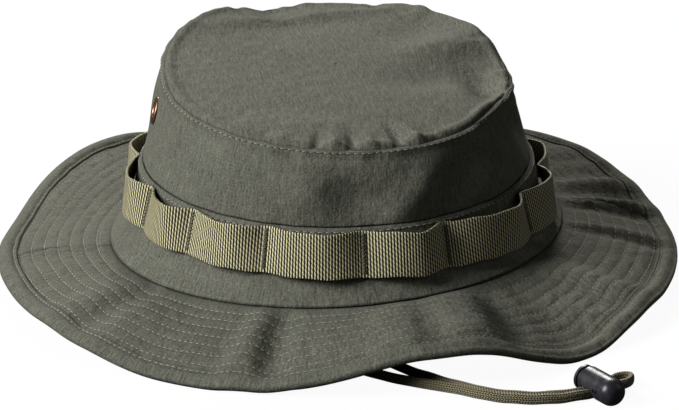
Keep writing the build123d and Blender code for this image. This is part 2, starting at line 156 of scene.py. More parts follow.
class Panel:
    """A ring of cloth through a few tilted ovals; each quantity is a polynomial in v, from 0 to 1."""

    def __init__(self, stations):
        levels = [v for v, _, _ in stations]
        rows = np.array([(*oval, tilt[0], *slopes(tilt)) for _, tilt, oval in stations])
        self.fits = [np.polyfit(levels, column, len(levels) - 1) for column in rows.T]

    def at(self, angle, v, out=0.0):
        half_x, half_y, height, along_x, along_y = [np.polyval(fit, v) for fit in self.fits]
        radius = oval_radius(half_x, half_y, angle)
        a = np.radians(angle)
        z = height + along_x * radius * np.sin(a) - along_y * radius * np.cos(a)
        return place(angle, radius + out, z)


lower_panel = Panel(
    [
        (0.0, CROWN_EDGE_TILT, SEAM_OVAL),
        (0.18, FLARE_TILT, FLARE_OVAL),
        (0.43, WAIST_TILT, WAIST_OVAL),
        (1.0, MIDDLE_TILT, MIDDLE_OVAL),
    ]
)
upper_panel = Panel(
    [
        (0.0, MIDDLE_TILT, MIDDLE_OVAL),
        (VENT_SHARE, VENT_LEVEL, SIDE_OVAL),
        (1.0, TIP_TILT, TIP_OVAL),
    ]
)


def wall_radius(angle, height):
    """Distance from the axis to the lower side panel at each angle and height."""
    share = np.linspace(0, 1, 60)
    angles, shares = np.meshgrid(angle, share)
    wall = lower_panel.at(angles, shares)
    radius = np.hypot(wall[..., 0], wall[..., 1])
    heights = np.broadcast_to(height, angle.shape)
    found = [np.interp(h, wall[:, j, 2], radius[:, j]) for j, h in enumerate(heights)]
    return np.array(found)


# ---------------------------------------------------------------- waves and folds
def ripple(angle, seed, first, last, size):
    """A fixed random mix of whole waves round the hat, with wave counts from first to last."""
    draw = np.random.default_rng(seed)
    total = np.zeros(np.shape(angle))
    for count in range(first, last + 1):
        total += draw.normal() * np.sin(np.radians(count * angle) + draw.uniform(0, 2 * pi))
    return size * total / np.sqrt(last - first + 1)


# Soft dents and rises of the upper panel: angle, v, half widths in degrees and in v, height, and the lean
# in degrees per v.
SIDE_FOLDS = [
    (-3, 0.34, 12, 0.45, -4.2, -16),
    (-17, 0.42, 11, 0.45, 2.0, -10),
    (14, 0.40, 10, 0.6, 2.2, 14),
    (34, 0.55, 16, 0.5, -1.2, 16),
    (46, 0.35, 14, 0.5, 1.0, 12),
    (-46, 0.50, 16, 0.6, 1.2, 8),
    (-66, 0.35, 12, 0.5, -1.3, 10),
    (70, 0.50, 12, 0.5, -1.2, -8),
    (112, 0.40, 15, 0.6, -2.2, 18),
    (138, 0.55, 14, 0.6, 1.8, 10),
    (165, 0.40, 15, 0.5, -2.4, -14),
    (-158, 0.45, 13, 0.6, 1.6, 12),
    (-132, 0.40, 14, 0.5, -2.0, -12),
    (-108, 0.55, 12, 0.6, 1.4, 8),
]


def side_relief(angle, v):
    """Outward height of the upper panel's folds above its smooth shape."""
    out = 0.5 * np.sin(np.pi * np.clip(v, 0, 1)) ** 0.8
    for centre, level, wide, tall, height, lean in SIDE_FOLDS:
        across = turn(angle, centre + lean * (v - level))
        out = out + height * hill(across, wide) * hill(v - level, tall)
    pucker = ripple(angle, 11, 22, 46, 0.36)
    gathers = ripple(angle + 3 * v, 12, 24, 50, 0.22)
    out = out + pucker * np.exp(-(1 - v) * 44 / 9) + gathers * np.exp(-np.clip(v, 0, 1) * 44 / 7)
    out = out + ripple(angle + 9 * v, 13, 7, 15, 0.45) * np.sin(np.pi * np.clip(v, 0, 1))
    return out


# Dents and rises of the top piece: x, y of the middle, half widths, turn in degrees, height.
TIP_FOLDS = [
    (64, -24, 8.0, 17, 6, -8.6),
    (42, -14, 22, 12, 12, -3.4),
    (54, 14, 22, 9, 14, 3.0),
    (5, 58, 70, 5, 9, 2.6),
    (-30, 40, 34, 18, 10, -1.5),
    (-52, -14, 20, 30, 10, 1.2),
    (22, -8, 40, 26, -20, -1.2),
    (44, 40, 24, 14, 30, -2.6),
    (-20, -58, 26, 7, -10, 0.8),
]

# Gathers of the top piece at its seam: angle, half width in degrees, height, how far they reach in.
TIP_GATHERS = [
    (-15, 2.6, -2.4, 9),
    (-9.5, 3.0, 2.2, 10),
    (-4, 2.6, -2.6, 10),
    (2, 3.5, 1.4, 8),
    (11, 3.0, -2.8, 13),
    (17, 3.4, 2.0, 10),
    (24, 3.0, -0.9, 8),
    (-32, 3.4, -0.9, 9),
    (-26, 3.2, 0.7, 8),
    (-48, 4.0, -0.7, 8),
    (70, 4.0, -1.3, 9),
    (84, 4.0, 1.2, 9),
    (108, 4.0, -1.2, 10),
    (140, 4.5, 1.0, 9),
    (158, 4.0, -1.2, 9),
    (-170, 4.5, 1.0, 10),
    (-152, 4.0, -1.1, 9),
    (-120, 4.5, -0.9, 9),
    (-96, 4.0, 0.8, 8),
]


# How far the tip seam is drawn in from its oval.
TIP_PULLS = [(53, -3.2, 24), (-95, -1.0, 40)]


def tip_warp(angle):
    """How far the tip seam stands above its plane."""
    return lobed(0, TIP_SEAM_LOBES, angle)


def tip_relief(x, y):
    """Height of the top piece's folds above its smooth dome."""
    up = np.zeros(np.shape(x))
    for centre_x, centre_y, wide, deep, spin, height in TIP_FOLDS:
        c = cos(radians(spin))
        s = sin(radians(spin))
        along = (x - centre_x) * c + (y - centre_y) * s
        across = (y - centre_y) * c - (x - centre_x) * s
        up = up + height * np.exp(-((along / wide) ** 2) - (across / deep) ** 2)
    return up


# Folds of the brim: angle at the seam, angle at the edge, half width, height, power of s.
BRIM_FOLDS = [
    (-25.5, -25, 4.5, 3.2, 0.35),
    (-20.0, -19, 4.2, -3.4, 0.35),
    (-10, -10, 8, 1.2, 0.7),
    (-40, -42, 9, -1.5, 0.6),
    (10, 7, 5, -3.0, 0.5),
    (2, 0, 6, 1.6, 0.8),
    (13, 10, 21, 5.6, 0.5),
    (19, 14, 5, 1.4, 0.7),
    (27, 21, 6, -4.2, 0.6),
    (37, 36, 15, -3.4, 0.5),
    (38, 43, 5.5, 2.0, 0.8),
    (47, 53, 5.5, 2.4, 0.7),
    (42, 47, 4.5, -1.2, 0.7),
    (53, 58, 5, -1.6, 0.8),
    (64, 70, 7, 1.4, 0.8),
    (73.5, 78, 2.8, 2.6, 0.5),
    (70, 75, 3.2, -1.8, 0.7),
    (80, 85, 5, -1.2, 0.7),
    (89, 93.5, 3.4, 4.4, 0.45),
    (85, 89.0, 3.2, -1.8, 0.45),
    (95.5, 99, 4.2, -2.8, 0.6),
    (101, 104, 3.8, 3.6, 0.6),
    (107, 110, 4.2, -2.4, 0.7),
    (119, 120, 5, 2.4, 0.7),
    (132, 134, 7, 1.6, 1.0),
    (152, 155, 8, -2.2, 1.0),
    (-57, -55, 5, -2.6, 0.3),
    (-64, -62, 5, 1.5, 0.5),
    (-78, -80, 7, 1.5, 0.8),
    (-88, -92, 3.0, 1.6, 0.6),
    (-96, -98, 6, -1.8, 0.8),
    (-118, -121, 8, 1.6, 1.0),
    (-146, -143, 8, -1.8, 1.0),
    (-166, -168, 7, 1.8, 1.0),
]


def brim_width(angle):
    return lobed(BRIM_WIDTH, BRIM_WIDTH_LOBES, angle)


def brim_point(angle, s, above=0.0):
    """A point of the brim's top face, s from 0 at the seam to 1 at the edge, raised square to it."""
    inner = oval_radius(*SEAM_OVAL, angle)
    seam = height_on(SEAM_TILT, angle, inner) - 0.6
    width = brim_width(angle)
    fall = seam - lobed(BRIM_EDGE, BRIM_EDGE_LOBES, angle)
    radius = inner + width * s
    height = seam - fall * s + BRIM_LIFT + 1.6 * np.sin(np.pi * np.clip(s, 0, 1))
    reach = np.clip(s, 0, 1.02)
    fade = 1 - 0.85 * (0.5 - 0.5 * np.cos(np.pi * np.clip((s - 0.70) / 0.30, 0, 1)))
    for at_seam, at_edge, half_width, size, power in BRIM_FOLDS:
        across = turn(angle, at_seam + (at_edge - at_seam) * s)
        height = height + size * hill(across, half_width) * reach**power * fade
    length = np.hypot(fall, width)
    return place(angle, radius + above * fall / length, height + above * width / length)


# ---------------------------------------------------------------- cloth simulation
def catmull(share):
    """Weights of four neighbouring samples for a position between the middle two."""
    t = share
    return [
        0.5 * (-t + 2 * t**2 - t**3),
        0.5 * (2 - 5 * t**2 + 3 * t**3),
        0.5 * (t + 4 * t**2 - 3 * t**3),
        0.5 * (-(t**2) + t**3),
    ]


class Drape:
    """Offsets found by a cloth simulation on a coarse grid, read back smoothly at any place."""

    def __init__(self, points, pins, cap, slack, stiffness, bending, gravity, frames, soften):
        self.offset = np.zeros(points.shape)
        rows, columns, _ = points.shape
        mesh = bpy.data.meshes.new("drape")
        faces = grid_faces(rows, columns, True)
        mesh.from_pydata((points.reshape(-1, 3) * MM).tolist(), [], faces.tolist())
        cloth_object = bpy.data.objects.new("drape", mesh)
        bpy.context.scene.collection.objects.link(cloth_object)
        group = cloth_object.vertex_groups.new(name="pins")
        for index, weight in enumerate(pins.reshape(-1)):
            group.add([index], float(weight), "REPLACE")
        cloth = cloth_object.modifiers.new("Cloth", "CLOTH")
        settings = cloth.settings
        settings.quality = 6
        settings.mass = 0.15
        settings.tension_stiffness = stiffness
        settings.compression_stiffness = stiffness
        settings.shear_stiffness = stiffness / 2
        settings.bending_stiffness = bending
        settings.air_damping = 3.0
        settings.vertex_group_mass = "pins"
        settings.pin_stiffness = 1.0
        settings.shrink_min = -slack
        settings.effector_weights.gravity = gravity
        cloth.collision_settings.use_collision = False
        cloth.point_cache.frame_start = 1
        cloth.point_cache.frame_end = frames
        scene = bpy.context.scene
        for number in range(1, frames + 1):
            scene.frame_set(number)
        evaluated = cloth_object.evaluated_get(bpy.context.evaluated_depsgraph_get())
        found = np.zeros(rows * columns * 3)
        evaluated.data.vertices.foreach_get("co", found)
        moved = found.reshape(points.shape) / MM - points
        bpy.data.objects.remove(cloth_object)
        scene.frame_set(1)
        moved = self.softened(moved, soften)
        size = np.linalg.norm(moved, axis=-1, keepdims=True)
        self.offset = moved * (np.tanh(size / cap) * cap / np.maximum(size, 1e-6))

    def softened(self, moved, passes):
        """The offsets with the smallest crumples rubbed out, so that soft folds stay."""
        for _ in range(passes):
            moved = (np.roll(moved, 1, axis=1) + 2 * moved + np.roll(moved, -1, axis=1)) / 4
            padded = np.concatenate([moved[:1], moved, moved[-1:]])
            moved = (padded[:-2] + 2 * moved + padded[2:]) / 4
        return moved

    def at(self, angle, share):
        """Offset at an angle and at a share, 0 to 1, of the way through the rows."""
        rows, columns, _ = self.offset.shape
        row = np.clip(share, 0, 1) * (rows - 1)
        column = (angle % 360) / 360 * columns
        row_floor = np.floor(row).astype(int)
        column_floor = np.floor(column).astype(int)
        total = np.zeros(np.shape(row + column) + (3,))
        for i, row_weight in enumerate(catmull(row - row_floor)):
            for j, column_weight in enumerate(catmull(column - column_floor)):
                near_row = np.clip(row_floor + i - 1, 0, rows - 1)
                near_column = (column_floor + j - 1) % columns
                total += self.offset[near_row, near_column] * (row_weight * column_weight)[..., None]
        return total


def grid_faces(rows, columns, wrap):
    """Quads of a grid of points, closed round its columns when wrap is true."""
    across = columns if wrap else columns - 1
    row, column = np.meshgrid(np.arange(rows - 1), np.arange(across), indexing="ij")
    following = (column + 1) % columns
    corners = [
        row * columns + column,
        row * columns + following,
        (row + 1) * columns + following,
        (row + 1) * columns + column,
    ]
    return np.stack(corners, axis=-1).reshape(-1, 4)


# ---------------------------------------------------------------- mesh helpers
def make_object(name, points, faces, corner_uv, material, body):
    """A smooth mesh object in the row frame that rides on a body. Points are in millimetres."""
    mesh = bpy.data.meshes.new(name)
    mesh.from_pydata((np.asarray(points).reshape(-1, 3) * MM).tolist(), [], faces)
    if corner_uv is not None:
        layer = mesh.uv_layers.new(name="cloth")
        layer.data.foreach_set("uv", np.asarray(corner_uv, np.float32).ravel())
    mesh.polygons.foreach_set("use_smooth", [True] * len(mesh.polygons))
    mesh.materials.append(material)
    piece = bpy.data.objects.new(name, mesh)
    bpy.context.scene.collection.objects.link(piece)
    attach(piece, body)
    return piece


def sheet(name, points, wrap, material, thick=CLOTH, stands_for=(), uv=None):
    """A piece of cloth on a grid. A uv is in millimetres, with one more column than points if it wraps."""
    if uv is None:
        uv = cloth_uv(points, wrap)
    rows, columns, _ = points.shape
    faces = grid_faces(rows, columns, wrap)
    row = faces[:, 0] // columns
    column = faces[:, 0] % columns
    corners = [uv[row, column], uv[row, column + 1], uv[row + 1, column + 1], uv[row + 1, column]]
    corner_uv = np.stack(corners, axis=1)
    piece = make_object(name, points, faces.tolist(), corner_uv, material, "hat")
    solid = piece.modifiers.new("thickness", "SOLIDIFY")
    solid.thickness = thick * MM
    solid.offset = -1
    if stands_for:
        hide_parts(*stands_for)
    return piece


def cloth_uv(points, wrap):
    """Distances along the columns and the rows of a grid, measured on its middle row and column."""
    closed = np.concatenate([points, points[:, :1]], axis=1) if wrap else points
    along = np.linalg.norm(np.diff(closed, axis=1), axis=-1)
    u = np.concatenate([[0], np.cumsum(along[len(points) // 2])])
    down = np.linalg.norm(np.diff(closed, axis=0), axis=-1).mean(axis=1)
    v = np.concatenate([[0], np.cumsum(down)])
    return np.stack(np.meshgrid(u, v, indexing="xy"), axis=-1)


def normals_of(points, wrap):
    """Unit normals of a grid of points, pointing to the side that its faces show."""
    if wrap:
        along = np.roll(points, -1, axis=1) - np.roll(points, 1, axis=1)
    else:
        along = np.gradient(points, axis=1)
    up = np.gradient(points, axis=0)
    normal = np.cross(along, up)
    return normal / np.maximum(np.linalg.norm(normal, axis=-1, keepdims=True), 1e-9)


def run_of_stitches(path, normal, pitch, length, seed, closed=False):
    """Middles, directions and normals of evenly spaced stitches along a path."""
    points = np.concatenate([path, path[:1]]) if closed else path
    normal = np.concatenate([normal, normal[:1]]) if closed else normal
    distance = np.concatenate([[0], np.cumsum(np.linalg.norm(np.diff(points, axis=0), axis=-1))])
    count = int(distance[-1] / pitch)
    draw = np.random.default_rng(seed)
    middle = (np.arange(count) + 0.5) * distance[-1] / count + draw.normal(0, 0.09, count)
    half = length / 2 * draw.uniform(0.85, 1.1, count)

    def read(values, where):
        return np.stack([np.interp(where, distance, values[:, k]) for k in range(3)], axis=-1)

    start = read(points, middle - half)
    end = read(points, middle + half)
    up = read(normal, middle)
    side = np.cross(up, end - start)
    side /= np.linalg.norm(side, axis=-1, keepdims=True)
    sway = draw.normal(0, 0.05, count)[:, None] * side
    return start + sway, end - sway, up


def thread_mesh(name, runs, radius, material, body="hat"):
    """Stitches as small rounded threads that dive into the cloth at both ends."""
    start = np.concatenate([run[0] for run in runs])
    end = np.concatenate([run[1] for run in runs])
    up = np.concatenate([run[2] for run in runs])
    along = end - start
    side = np.cross(along, up)
    side /= np.linalg.norm(side, axis=-1, keepdims=True)
    stations = [(0.0, -0.9, 0.55), (0.22, 0.25, 1.0), (0.78, 0.25, 1.0), (1.0, -0.9, 0.55)]
    sides = 6
    rings = []
    for share, lift, wide in stations:
        middle = start + along * share + up * (lift * radius)
        for k in range(sides):
            spoke = 2 * pi * k / sides
            rings.append(middle + radius * wide * (side * cos(spoke) + up * sin(spoke)))
    points = np.stack(rings, axis=1)
    count = len(start)
    one = []
    for ring in range(len(stations) - 1):
        for k in range(sides):
            following = (k + 1) % sides
            low = ring * sides
            one.append((low + k, low + sides + k, low + sides + following, low + following))
    block = np.arange(count)[:, None, None] * (sides * len(stations)) + np.array(one)[None]
    return make_object(name, points, block.reshape(-1, 4).tolist(), None, material, body)


def tube(
    name, path, tangent, wide, half_wide, half_thick, material, body, slot,
    sides=20, closed=False, square=2.6,
):
    """A flat braid along a path. Its section is a rounded rectangle turned so that wide is its long side."""
    count = len(path)
    wide = wide - tangent * np.sum(wide * tangent, axis=-1, keepdims=True)
    wide /= np.linalg.norm(wide, axis=-1, keepdims=True)
    thin = np.cross(tangent, wide)
    spoke = np.arange(sides) * 2 * pi / sides
    long_part = np.sign(np.cos(spoke)) * np.abs(np.cos(spoke)) ** (2 / square)
    thin_part = np.sign(np.sin(spoke)) * np.abs(np.sin(spoke)) ** (2 / square)
    points = (
        path[:, None]
        + wide[:, None] * (half_wide * long_part)[None, :, None]
        + thin[:, None] * (half_thick * thin_part)[None, :, None]
    )
    distance = np.concatenate([[0], np.cumsum(np.linalg.norm(np.diff(path, axis=0), axis=-1))])
    if closed:
        distance = np.append(distance, distance[-1] + np.linalg.norm(path[-1] - path[0]))
    girth = np.linalg.norm(np.diff(np.concatenate([points[0], points[0][:1]]), axis=0), axis=-1)
    round_it = np.concatenate([[0], np.cumsum(girth)])
    faces = []
    corner_uv = []
    for i in range(count if closed else count - 1):
        after = (i + 1) % count
        for k in range(sides):
            nxt = (k + 1) % sides
            faces.append((i * sides + k, i * sides + nxt, after * sides + nxt, after * sides + k))
            corner_uv += [
                (distance[i], round_it[k]),
                (distance[i], round_it[k + 1]),
                (distance[i + 1], round_it[k + 1]),
                (distance[i + 1], round_it[k]),
            ]
    if not closed:
        faces.append(tuple(range(sides))[::-1])
        faces.append(tuple((count - 1) * sides + k for k in range(sides)))
        corner_uv += [(0, 0)] * (2 * sides)
    return make_object(name, points, faces, np.array(corner_uv), material, body)


# ---------------------------------------------------------------- materials
class Nodes:
    """Short spelling for building a material's node tree."""

    def __init__(self, name):
        self.material = bpy.data.materials.new(name)
        self.material.use_nodes = True
        self.tree = self.material.node_tree
        self.surface = self.tree.nodes["Principled BSDF"]

    def put(self, socket, value):
        if isinstance(value, bpy.types.NodeSocket):
            self.tree.links.new(value, socket)
        else:
            socket.default_value = value

    def math(self, kind, *values):
        node = self.tree.nodes.new("ShaderNodeMath")
        node.operation = kind
        for k, value in enumerate(values):
            self.put(node.inputs[k], value)
        return node.outputs[0]

    def uv(self):
        node = self.tree.nodes.new("ShaderNodeUVMap")
        node.uv_map = "cloth"
        split = self.tree.nodes.new("ShaderNodeSeparateXYZ")
        self.tree.links.new(node.outputs[0], split.inputs[0])
        return node.outputs[0], split.outputs[0], split.outputs[1]

    def place_mm(self):
        """The point's place in the row frame, in millimetres."""
        node = self.tree.nodes.new("ShaderNodeTexCoord")
        scale = self.tree.nodes.new("ShaderNodeVectorMath")
        scale.operation = "SCALE"
        self.tree.links.new(node.outputs["Object"], scale.inputs[0])
        scale.inputs["Scale"].default_value = 1 / MM
        return scale.outputs[0]

    def noise(self, where, size, detail=2.0, rough=0.5):
        """Noise between about 0 and 1 whose features are size across."""
        node = self.tree.nodes.new("ShaderNodeTexNoise")
        self.tree.links.new(where, node.inputs["Vector"])
        node.inputs["Scale"].default_value = 1 / size
        node.inputs["Detail"].default_value = detail
        node.inputs["Roughness"].default_value = rough
        return node.outputs[0]

    def stretched(self, u, v, wide, tall):
        """A texture place whose features are wide by tall millimetres."""
        node = self.tree.nodes.new("ShaderNodeCombineXYZ")
        self.put(node.inputs[0], self.math("DIVIDE", u, wide))
        self.put(node.inputs[1], self.math("DIVIDE", v, tall))
        return node.outputs[0]

    def ramp(self, value, low, high, to_low=0.0, to_high=1.0):
        node = self.tree.nodes.new("ShaderNodeMapRange")
        node.clamp = True
        for k, number in enumerate((value, low, high, to_low, to_high)):
            self.put(node.inputs[k], number)
        return node.outputs[0]

    def mix(self, share, first, second):
        node = self.tree.nodes.new("ShaderNodeMix")
        node.data_type = "RGBA"
        self.put(node.inputs[0], share)
        for socket, colour in ((node.inputs[6], first), (node.inputs[7], second)):
            self.put(socket, (*colour, 1.0) if isinstance(colour, tuple) else colour)
        return node.outputs[2]

    def brighten(self, colour, factor):
        """A colour multiplied by a number."""
        node = self.tree.nodes.new("ShaderNodeVectorMath")
        node.operation = "SCALE"
        self.put(node.inputs[0], colour)
        self.put(node.inputs["Scale"], factor)
        return node.outputs[0]

    def bump(self, height, distance, strength=1.0, below=None):
        node = self.tree.nodes.new("ShaderNodeBump")
        node.inputs["Distance"].default_value = distance * MM
        node.inputs["Strength"].default_value = strength
        self.tree.links.new(height, node.inputs["Height"])
        if below is not None:
            self.tree.links.new(below, node.inputs["Normal"])
        return node.outputs[0]

    def painted_crevice_shade(self, reach, darkest):
        """Painted shade: a factor of one in the open, falling to darkest where other surfaces crowd in
        within reach millimetres.
        """
        node = self.tree.nodes.new("ShaderNodeAmbientOcclusion")
        node.samples = 6
        node.only_local = False
        node.inputs["Distance"].default_value = reach * MM
        return self.ramp(node.outputs["AO"], 0.35, 0.95, darkest, 1.0)

    def finish(self, colour, normal=None, roughness=0.8, sheen=0.0, metallic=0.0, specular=0.5):
        self.put(self.surface.inputs["Base Color"], (*colour, 1.0) if isinstance(colour, tuple) else colour)
        self.put(self.surface.inputs["Roughness"], roughness)
        self.surface.inputs["Sheen Weight"].default_value = sheen
        self.surface.inputs["Sheen Roughness"].default_value = 0.5
        self.surface.inputs["Metallic"].default_value = metallic
        self.surface.inputs["Specular IOR Level"].default_value = specular
        if normal is not None:
            self.tree.links.new(normal, self.surface.inputs["Normal"])
        return self.material


def woven(name, colour, weave_pitch=0.62, grid=6.6, grain=1.0, wrinkle=1.0, sheen=0.03):
    """Plain-woven cotton blend with a faint ripstop grid, slubby yarns, mottling and fine wrinkles; its
    colour carries painted shade in the wrinkles' valleys and where other surfaces crowd in.
    """
    n = Nodes(name)
    where, u, v = n.uv()
    place3 = n.place_mm()
    warp = n.math("SINE", n.math("MULTIPLY", u, 2 * pi / weave_pitch))
    weft = n.math("SINE", n.math("MULTIPLY", v, 2 * pi / weave_pitch))
    weave = n.math("MULTIPLY", warp, weft)
    fleck = n.noise(where, 0.9, 2.0, 0.65)
    slub = n.noise(n.stretched(u, v, 0.8, 6.0), 1.0, 1.5, 0.6)
    blotch = n.noise(place3, 24.0, 3.0, 0.6)
    fold_height_and_shade = n.noise(place3, 7.0, 4.0, 0.62)
    lines = None
    for coordinate in (u, v):
        drifted = n.math("ADD", coordinate, n.math("MULTIPLY", blotch, 1.5))
        phase = n.math("FRACT", n.math("DIVIDE", drifted, grid))
        line = n.ramp(n.math("ABSOLUTE", n.math("SUBTRACT", phase, 0.5)), 0.03, 0.07, 1.0, 0.0)
        lines = line if lines is None else n.math("MAXIMUM", lines, line)
    shade = n.math("MULTIPLY", n.math("SUBTRACT", fleck, 0.5), 1.9 * grain)
    shade = n.math("ADD", shade, n.math("MULTIPLY", n.math("SUBTRACT", slub, 0.5), 1.3 * grain))
    shade = n.math("ADD", shade, n.math("MULTIPLY", weave, 0.05 * grain))
    shade = n.math("ADD", shade, n.math("MULTIPLY", n.math("SUBTRACT", blotch, 0.5), 0.34))
    # The wrinkle noise also bumps the cloth, so this darkening in its valleys is painted shade.
    shade = n.math("ADD", shade, n.math("MULTIPLY", n.math("SUBTRACT", fold_height_and_shade, 0.5), 0.24))
    shade = n.math("ADD", shade, n.math("MULTIPLY", n.math("MULTIPLY", lines, slub), 0.2))
    shade = n.math("ADD", shade, 0.97)
    normal = n.bump(fold_height_and_shade, 1.2 * wrinkle)
    grains = n.math("ADD", n.math("MULTIPLY", weave, 0.2), n.math("ADD", fleck, slub))
    normal = n.bump(grains, 0.2, 0.8, normal)
    rough = n.ramp(fleck, 0.2, 0.8, 0.8, 0.95)
    # Painted shade: the colour darkens where other surfaces come within 2.6 mm.
    shade = n.math("MULTIPLY", shade, n.painted_crevice_shade(2.6, 0.25))
    return n.finish(n.brighten(colour, shade), normal, rough, sheen, specular=0.2)


def ribbed_webbing():
    """Heavy nylon tape: upright ribs made of short slanted bright yarns, with near-black painted shade in
    the gaps between them.
    """
    n = Nodes("webbing")
    where, u, v = n.uv()
    rib = 1.3
    yarn = 2.1
    across = n.math("DIVIDE", u, rib)
    column = n.math("FLOOR", across)
    in_rib = n.math("FRACT", across)
    odd = n.math("MULTIPLY", n.math("MODULO", column, 2.0), 0.5)
    slant = n.math("MULTIPLY", in_rib, 0.8)
    up = n.math("ADD", n.math("ADD", n.math("DIVIDE", v, yarn), odd), slant)
    in_yarn = n.math("FRACT", up)
    rib_height = n.math("SINE", n.math("MULTIPLY", in_rib, pi))
    yarn_height = n.math("SINE", n.math("MULTIPLY", in_yarn, pi))
    height = n.math("MULTIPLY", rib_height, n.math("ADD", 0.70, n.math("MULTIPLY", yarn_height, 0.30)))
    blotch = n.noise(where, 6.0, 2.0)
    fibre = n.noise(where, 0.35, 2.0, 0.7)
    # Painted shade: the low places between ribs and yarns get a near-black colour.
    share = n.ramp(height, 0.60, 0.85, 0.0, 1.0)
    colour = n.mix(share, (0.007, 0.005, 0.002), (0.80, 0.745, 0.45))
    shade = n.math("ADD", 0.72, n.math("MULTIPLY", n.math("ADD", blotch, fibre), 0.28))
    # Painted shade: the colour darkens where other surfaces come within 5 mm.
    shade = n.math("MULTIPLY", shade, n.painted_crevice_shade(5.0, 0.2))
    normal = n.bump(height, 0.22, 1.0)
    return n.finish(n.brighten(colour, shade), normal, 0.45, 0.0, specular=0.4)


def braided_cord():
    """Tubular braid pressed flat: chevrons of small bright picks, on a dark ground that is painted shade
    between them.
    """
    n = Nodes("cord_braid")
    where, u, v = n.uv()
    pick = 1.15
    lane = 0.95
    across = n.math("DIVIDE", v, lane)
    column = n.math("FLOOR", across)
    in_lane = n.math("FRACT", across)
    flip = n.math("SUBTRACT", n.math("MULTIPLY", n.math("MODULO", column, 2.0), 2.0), 1.0)
    slant = n.math("MULTIPLY", n.math("MULTIPLY", flip, in_lane), 0.9)
    in_pick = n.math("FRACT", n.math("ADD", n.math("DIVIDE", u, pick), slant))
    height = n.math(
        "MULTIPLY",
        n.math("POWER", n.math("SINE", n.math("MULTIPLY", in_pick, pi)), 0.8),
        n.math("POWER", n.math("SINE", n.math("MULTIPLY", in_lane, pi)), 0.5),
    )
    fibre = n.noise(where, 0.3, 2.0)
    # Painted shade: the colour goes dark in the low places between the picks.
    colour = n.mix(n.ramp(height, 0.35, 0.95), (0.026, 0.021, 0.009), (0.47, 0.41, 0.22))
    shade = n.math("ADD", 0.7, n.math("MULTIPLY", fibre, 0.6))
    return n.finish(n.brighten(colour, shade), n.bump(height, 0.4), 0.55, 0.2, specular=0.4)


def sewing_thread(name, colour):
    """Twisted polyester thread."""
    n = Nodes(name)
    place3 = n.place_mm()
    fibre = n.noise(place3, 0.45, 2.0, 0.7)
    batch = n.noise(place3, 30.0, 2.0)
    varied = n.math("ADD", n.math("MULTIPLY", fibre, 0.45), n.math("MULTIPLY", batch, 0.3))
    shade = n.math("ADD", 0.62, varied)
    return n.finish(n.brighten(colour, shade), n.bump(fibre, 0.1), 0.5, 0.1, specular=0.5)


def moulded_plastic():
    """Dark acetal with a faint orange-peel skin, rubbed areas and dust."""
    n = Nodes("lock_plastic")
    place3 = n.place_mm()
    skin = n.noise(place3, 0.5, 2.0)
    rub = n.noise(place3, 5.0, 4.0, 0.65)
    colour = n.mix(n.ramp(rub, 0.45, 0.75), (0.022, 0.021, 0.026), (0.045, 0.043, 0.050))
    rough = n.ramp(rub, 0.3, 0.7, 0.26, 0.40)
    return n.finish(colour, n.bump(skin, 0.03, 0.5), rough, specular=0.5)


def aged_brass(name, colour):
    """Lacquered brass, darker and duller in patches."""
    n = Nodes(name)
    place3 = n.place_mm()
    patch = n.noise(place3, 2.2, 4.0, 0.65)
    scratch = n.noise(place3, 0.35, 2.0)
    tint = n.mix(n.ramp(patch, 0.4, 0.7), colour, tuple(0.45 * c for c in colour))
    rough = n.ramp(patch, 0.3, 0.7, 0.28, 0.5)
    return n.finish(tint, n.bump(scratch, 0.03, 0.6), rough, metallic=1.0)


def spring_wire():
    n = Nodes("spring_steel")
    place3 = n.place_mm()
    streak = n.noise(place3, 0.6, 3.0)
    tint = n.mix(streak, (0.45, 0.45, 0.46), (0.62, 0.62, 0.63))
    return n.finish(tint, None, 0.3, metallic=1.0)


HAT_COLOUR = (0.124, 0.125, 0.099)
ripstop = woven("ripstop", HAT_COLOUR)
ripstop_under = woven("ripstop_under", tuple(0.95 * c for c in HAT_COLOUR))
band_cloth = woven("sweatband_cloth", (0.135, 0.135, 0.105), weave_pitch=0.8, grid=60.0)
tape_cloth = woven("seam_tape", (0.120, 0.120, 0.092), weave_pitch=0.9, grid=60.0)
label_cloth = woven("label_cloth", (0.62, 0.61, 0.54), weave_pitch=0.5, grid=60.0, grain=0.4, wrinkle=0.3)
felt = woven("interlining", (0.42, 0.40, 0.34), weave_pitch=0.9, grid=90.0)
webbing = ribbed_webbing()
braid = braided_cord()
pale_thread = sewing_thread("pale_thread", (0.29, 0.285, 0.225))
seam_thread = sewing_thread("seam_thread", (0.25, 0.245, 0.19))
dark_thread = sewing_thread("dark_thread", (0.17, 0.165, 0.125))
tack_thread = sewing_thread("tack_thread", (0.10, 0.093, 0.05))
# Near-black thread: painted shadow of the needle holes between stitches.
hole_shadow_thread = sewing_thread("painted_hole_shadow", (0.022, 0.022, 0.016))
plastic = moulded_plastic()
steel = spring_wire()
copper = aged_brass("vent_brass", (0.50, 0.30, 0.20))
mesh_wire = aged_brass("screen_wire", (0.30, 0.20, 0.11))

# ---------------------------------------------------------------- simulated drape
COLUMNS = 480
all_round = np.arange(COLUMNS) * 360 / COLUMNS


def smooth_tip(angle, rho, lift=0.0):
    """The top piece without its simulated sag, rho from 0 at the middle to 1 at its seam."""
    radius = (oval_radius(*TIP_OVAL, angle) + lobed(0, TIP_PULLS, angle) * rho**4) * rho
    x = radius * np.sin(np.radians(angle))
    y = -radius * np.cos(np.radians(angle))
    dome = TIP_DOME * (1 - rho**2.4)
    height = height_on(TIP_TILT, angle, radius) + dome + tip_relief(x, y) * (1 - rho**8) + lift
    height = height + tip_warp(angle) * rho**3
    return np.stack([x, y, height], axis=-1)


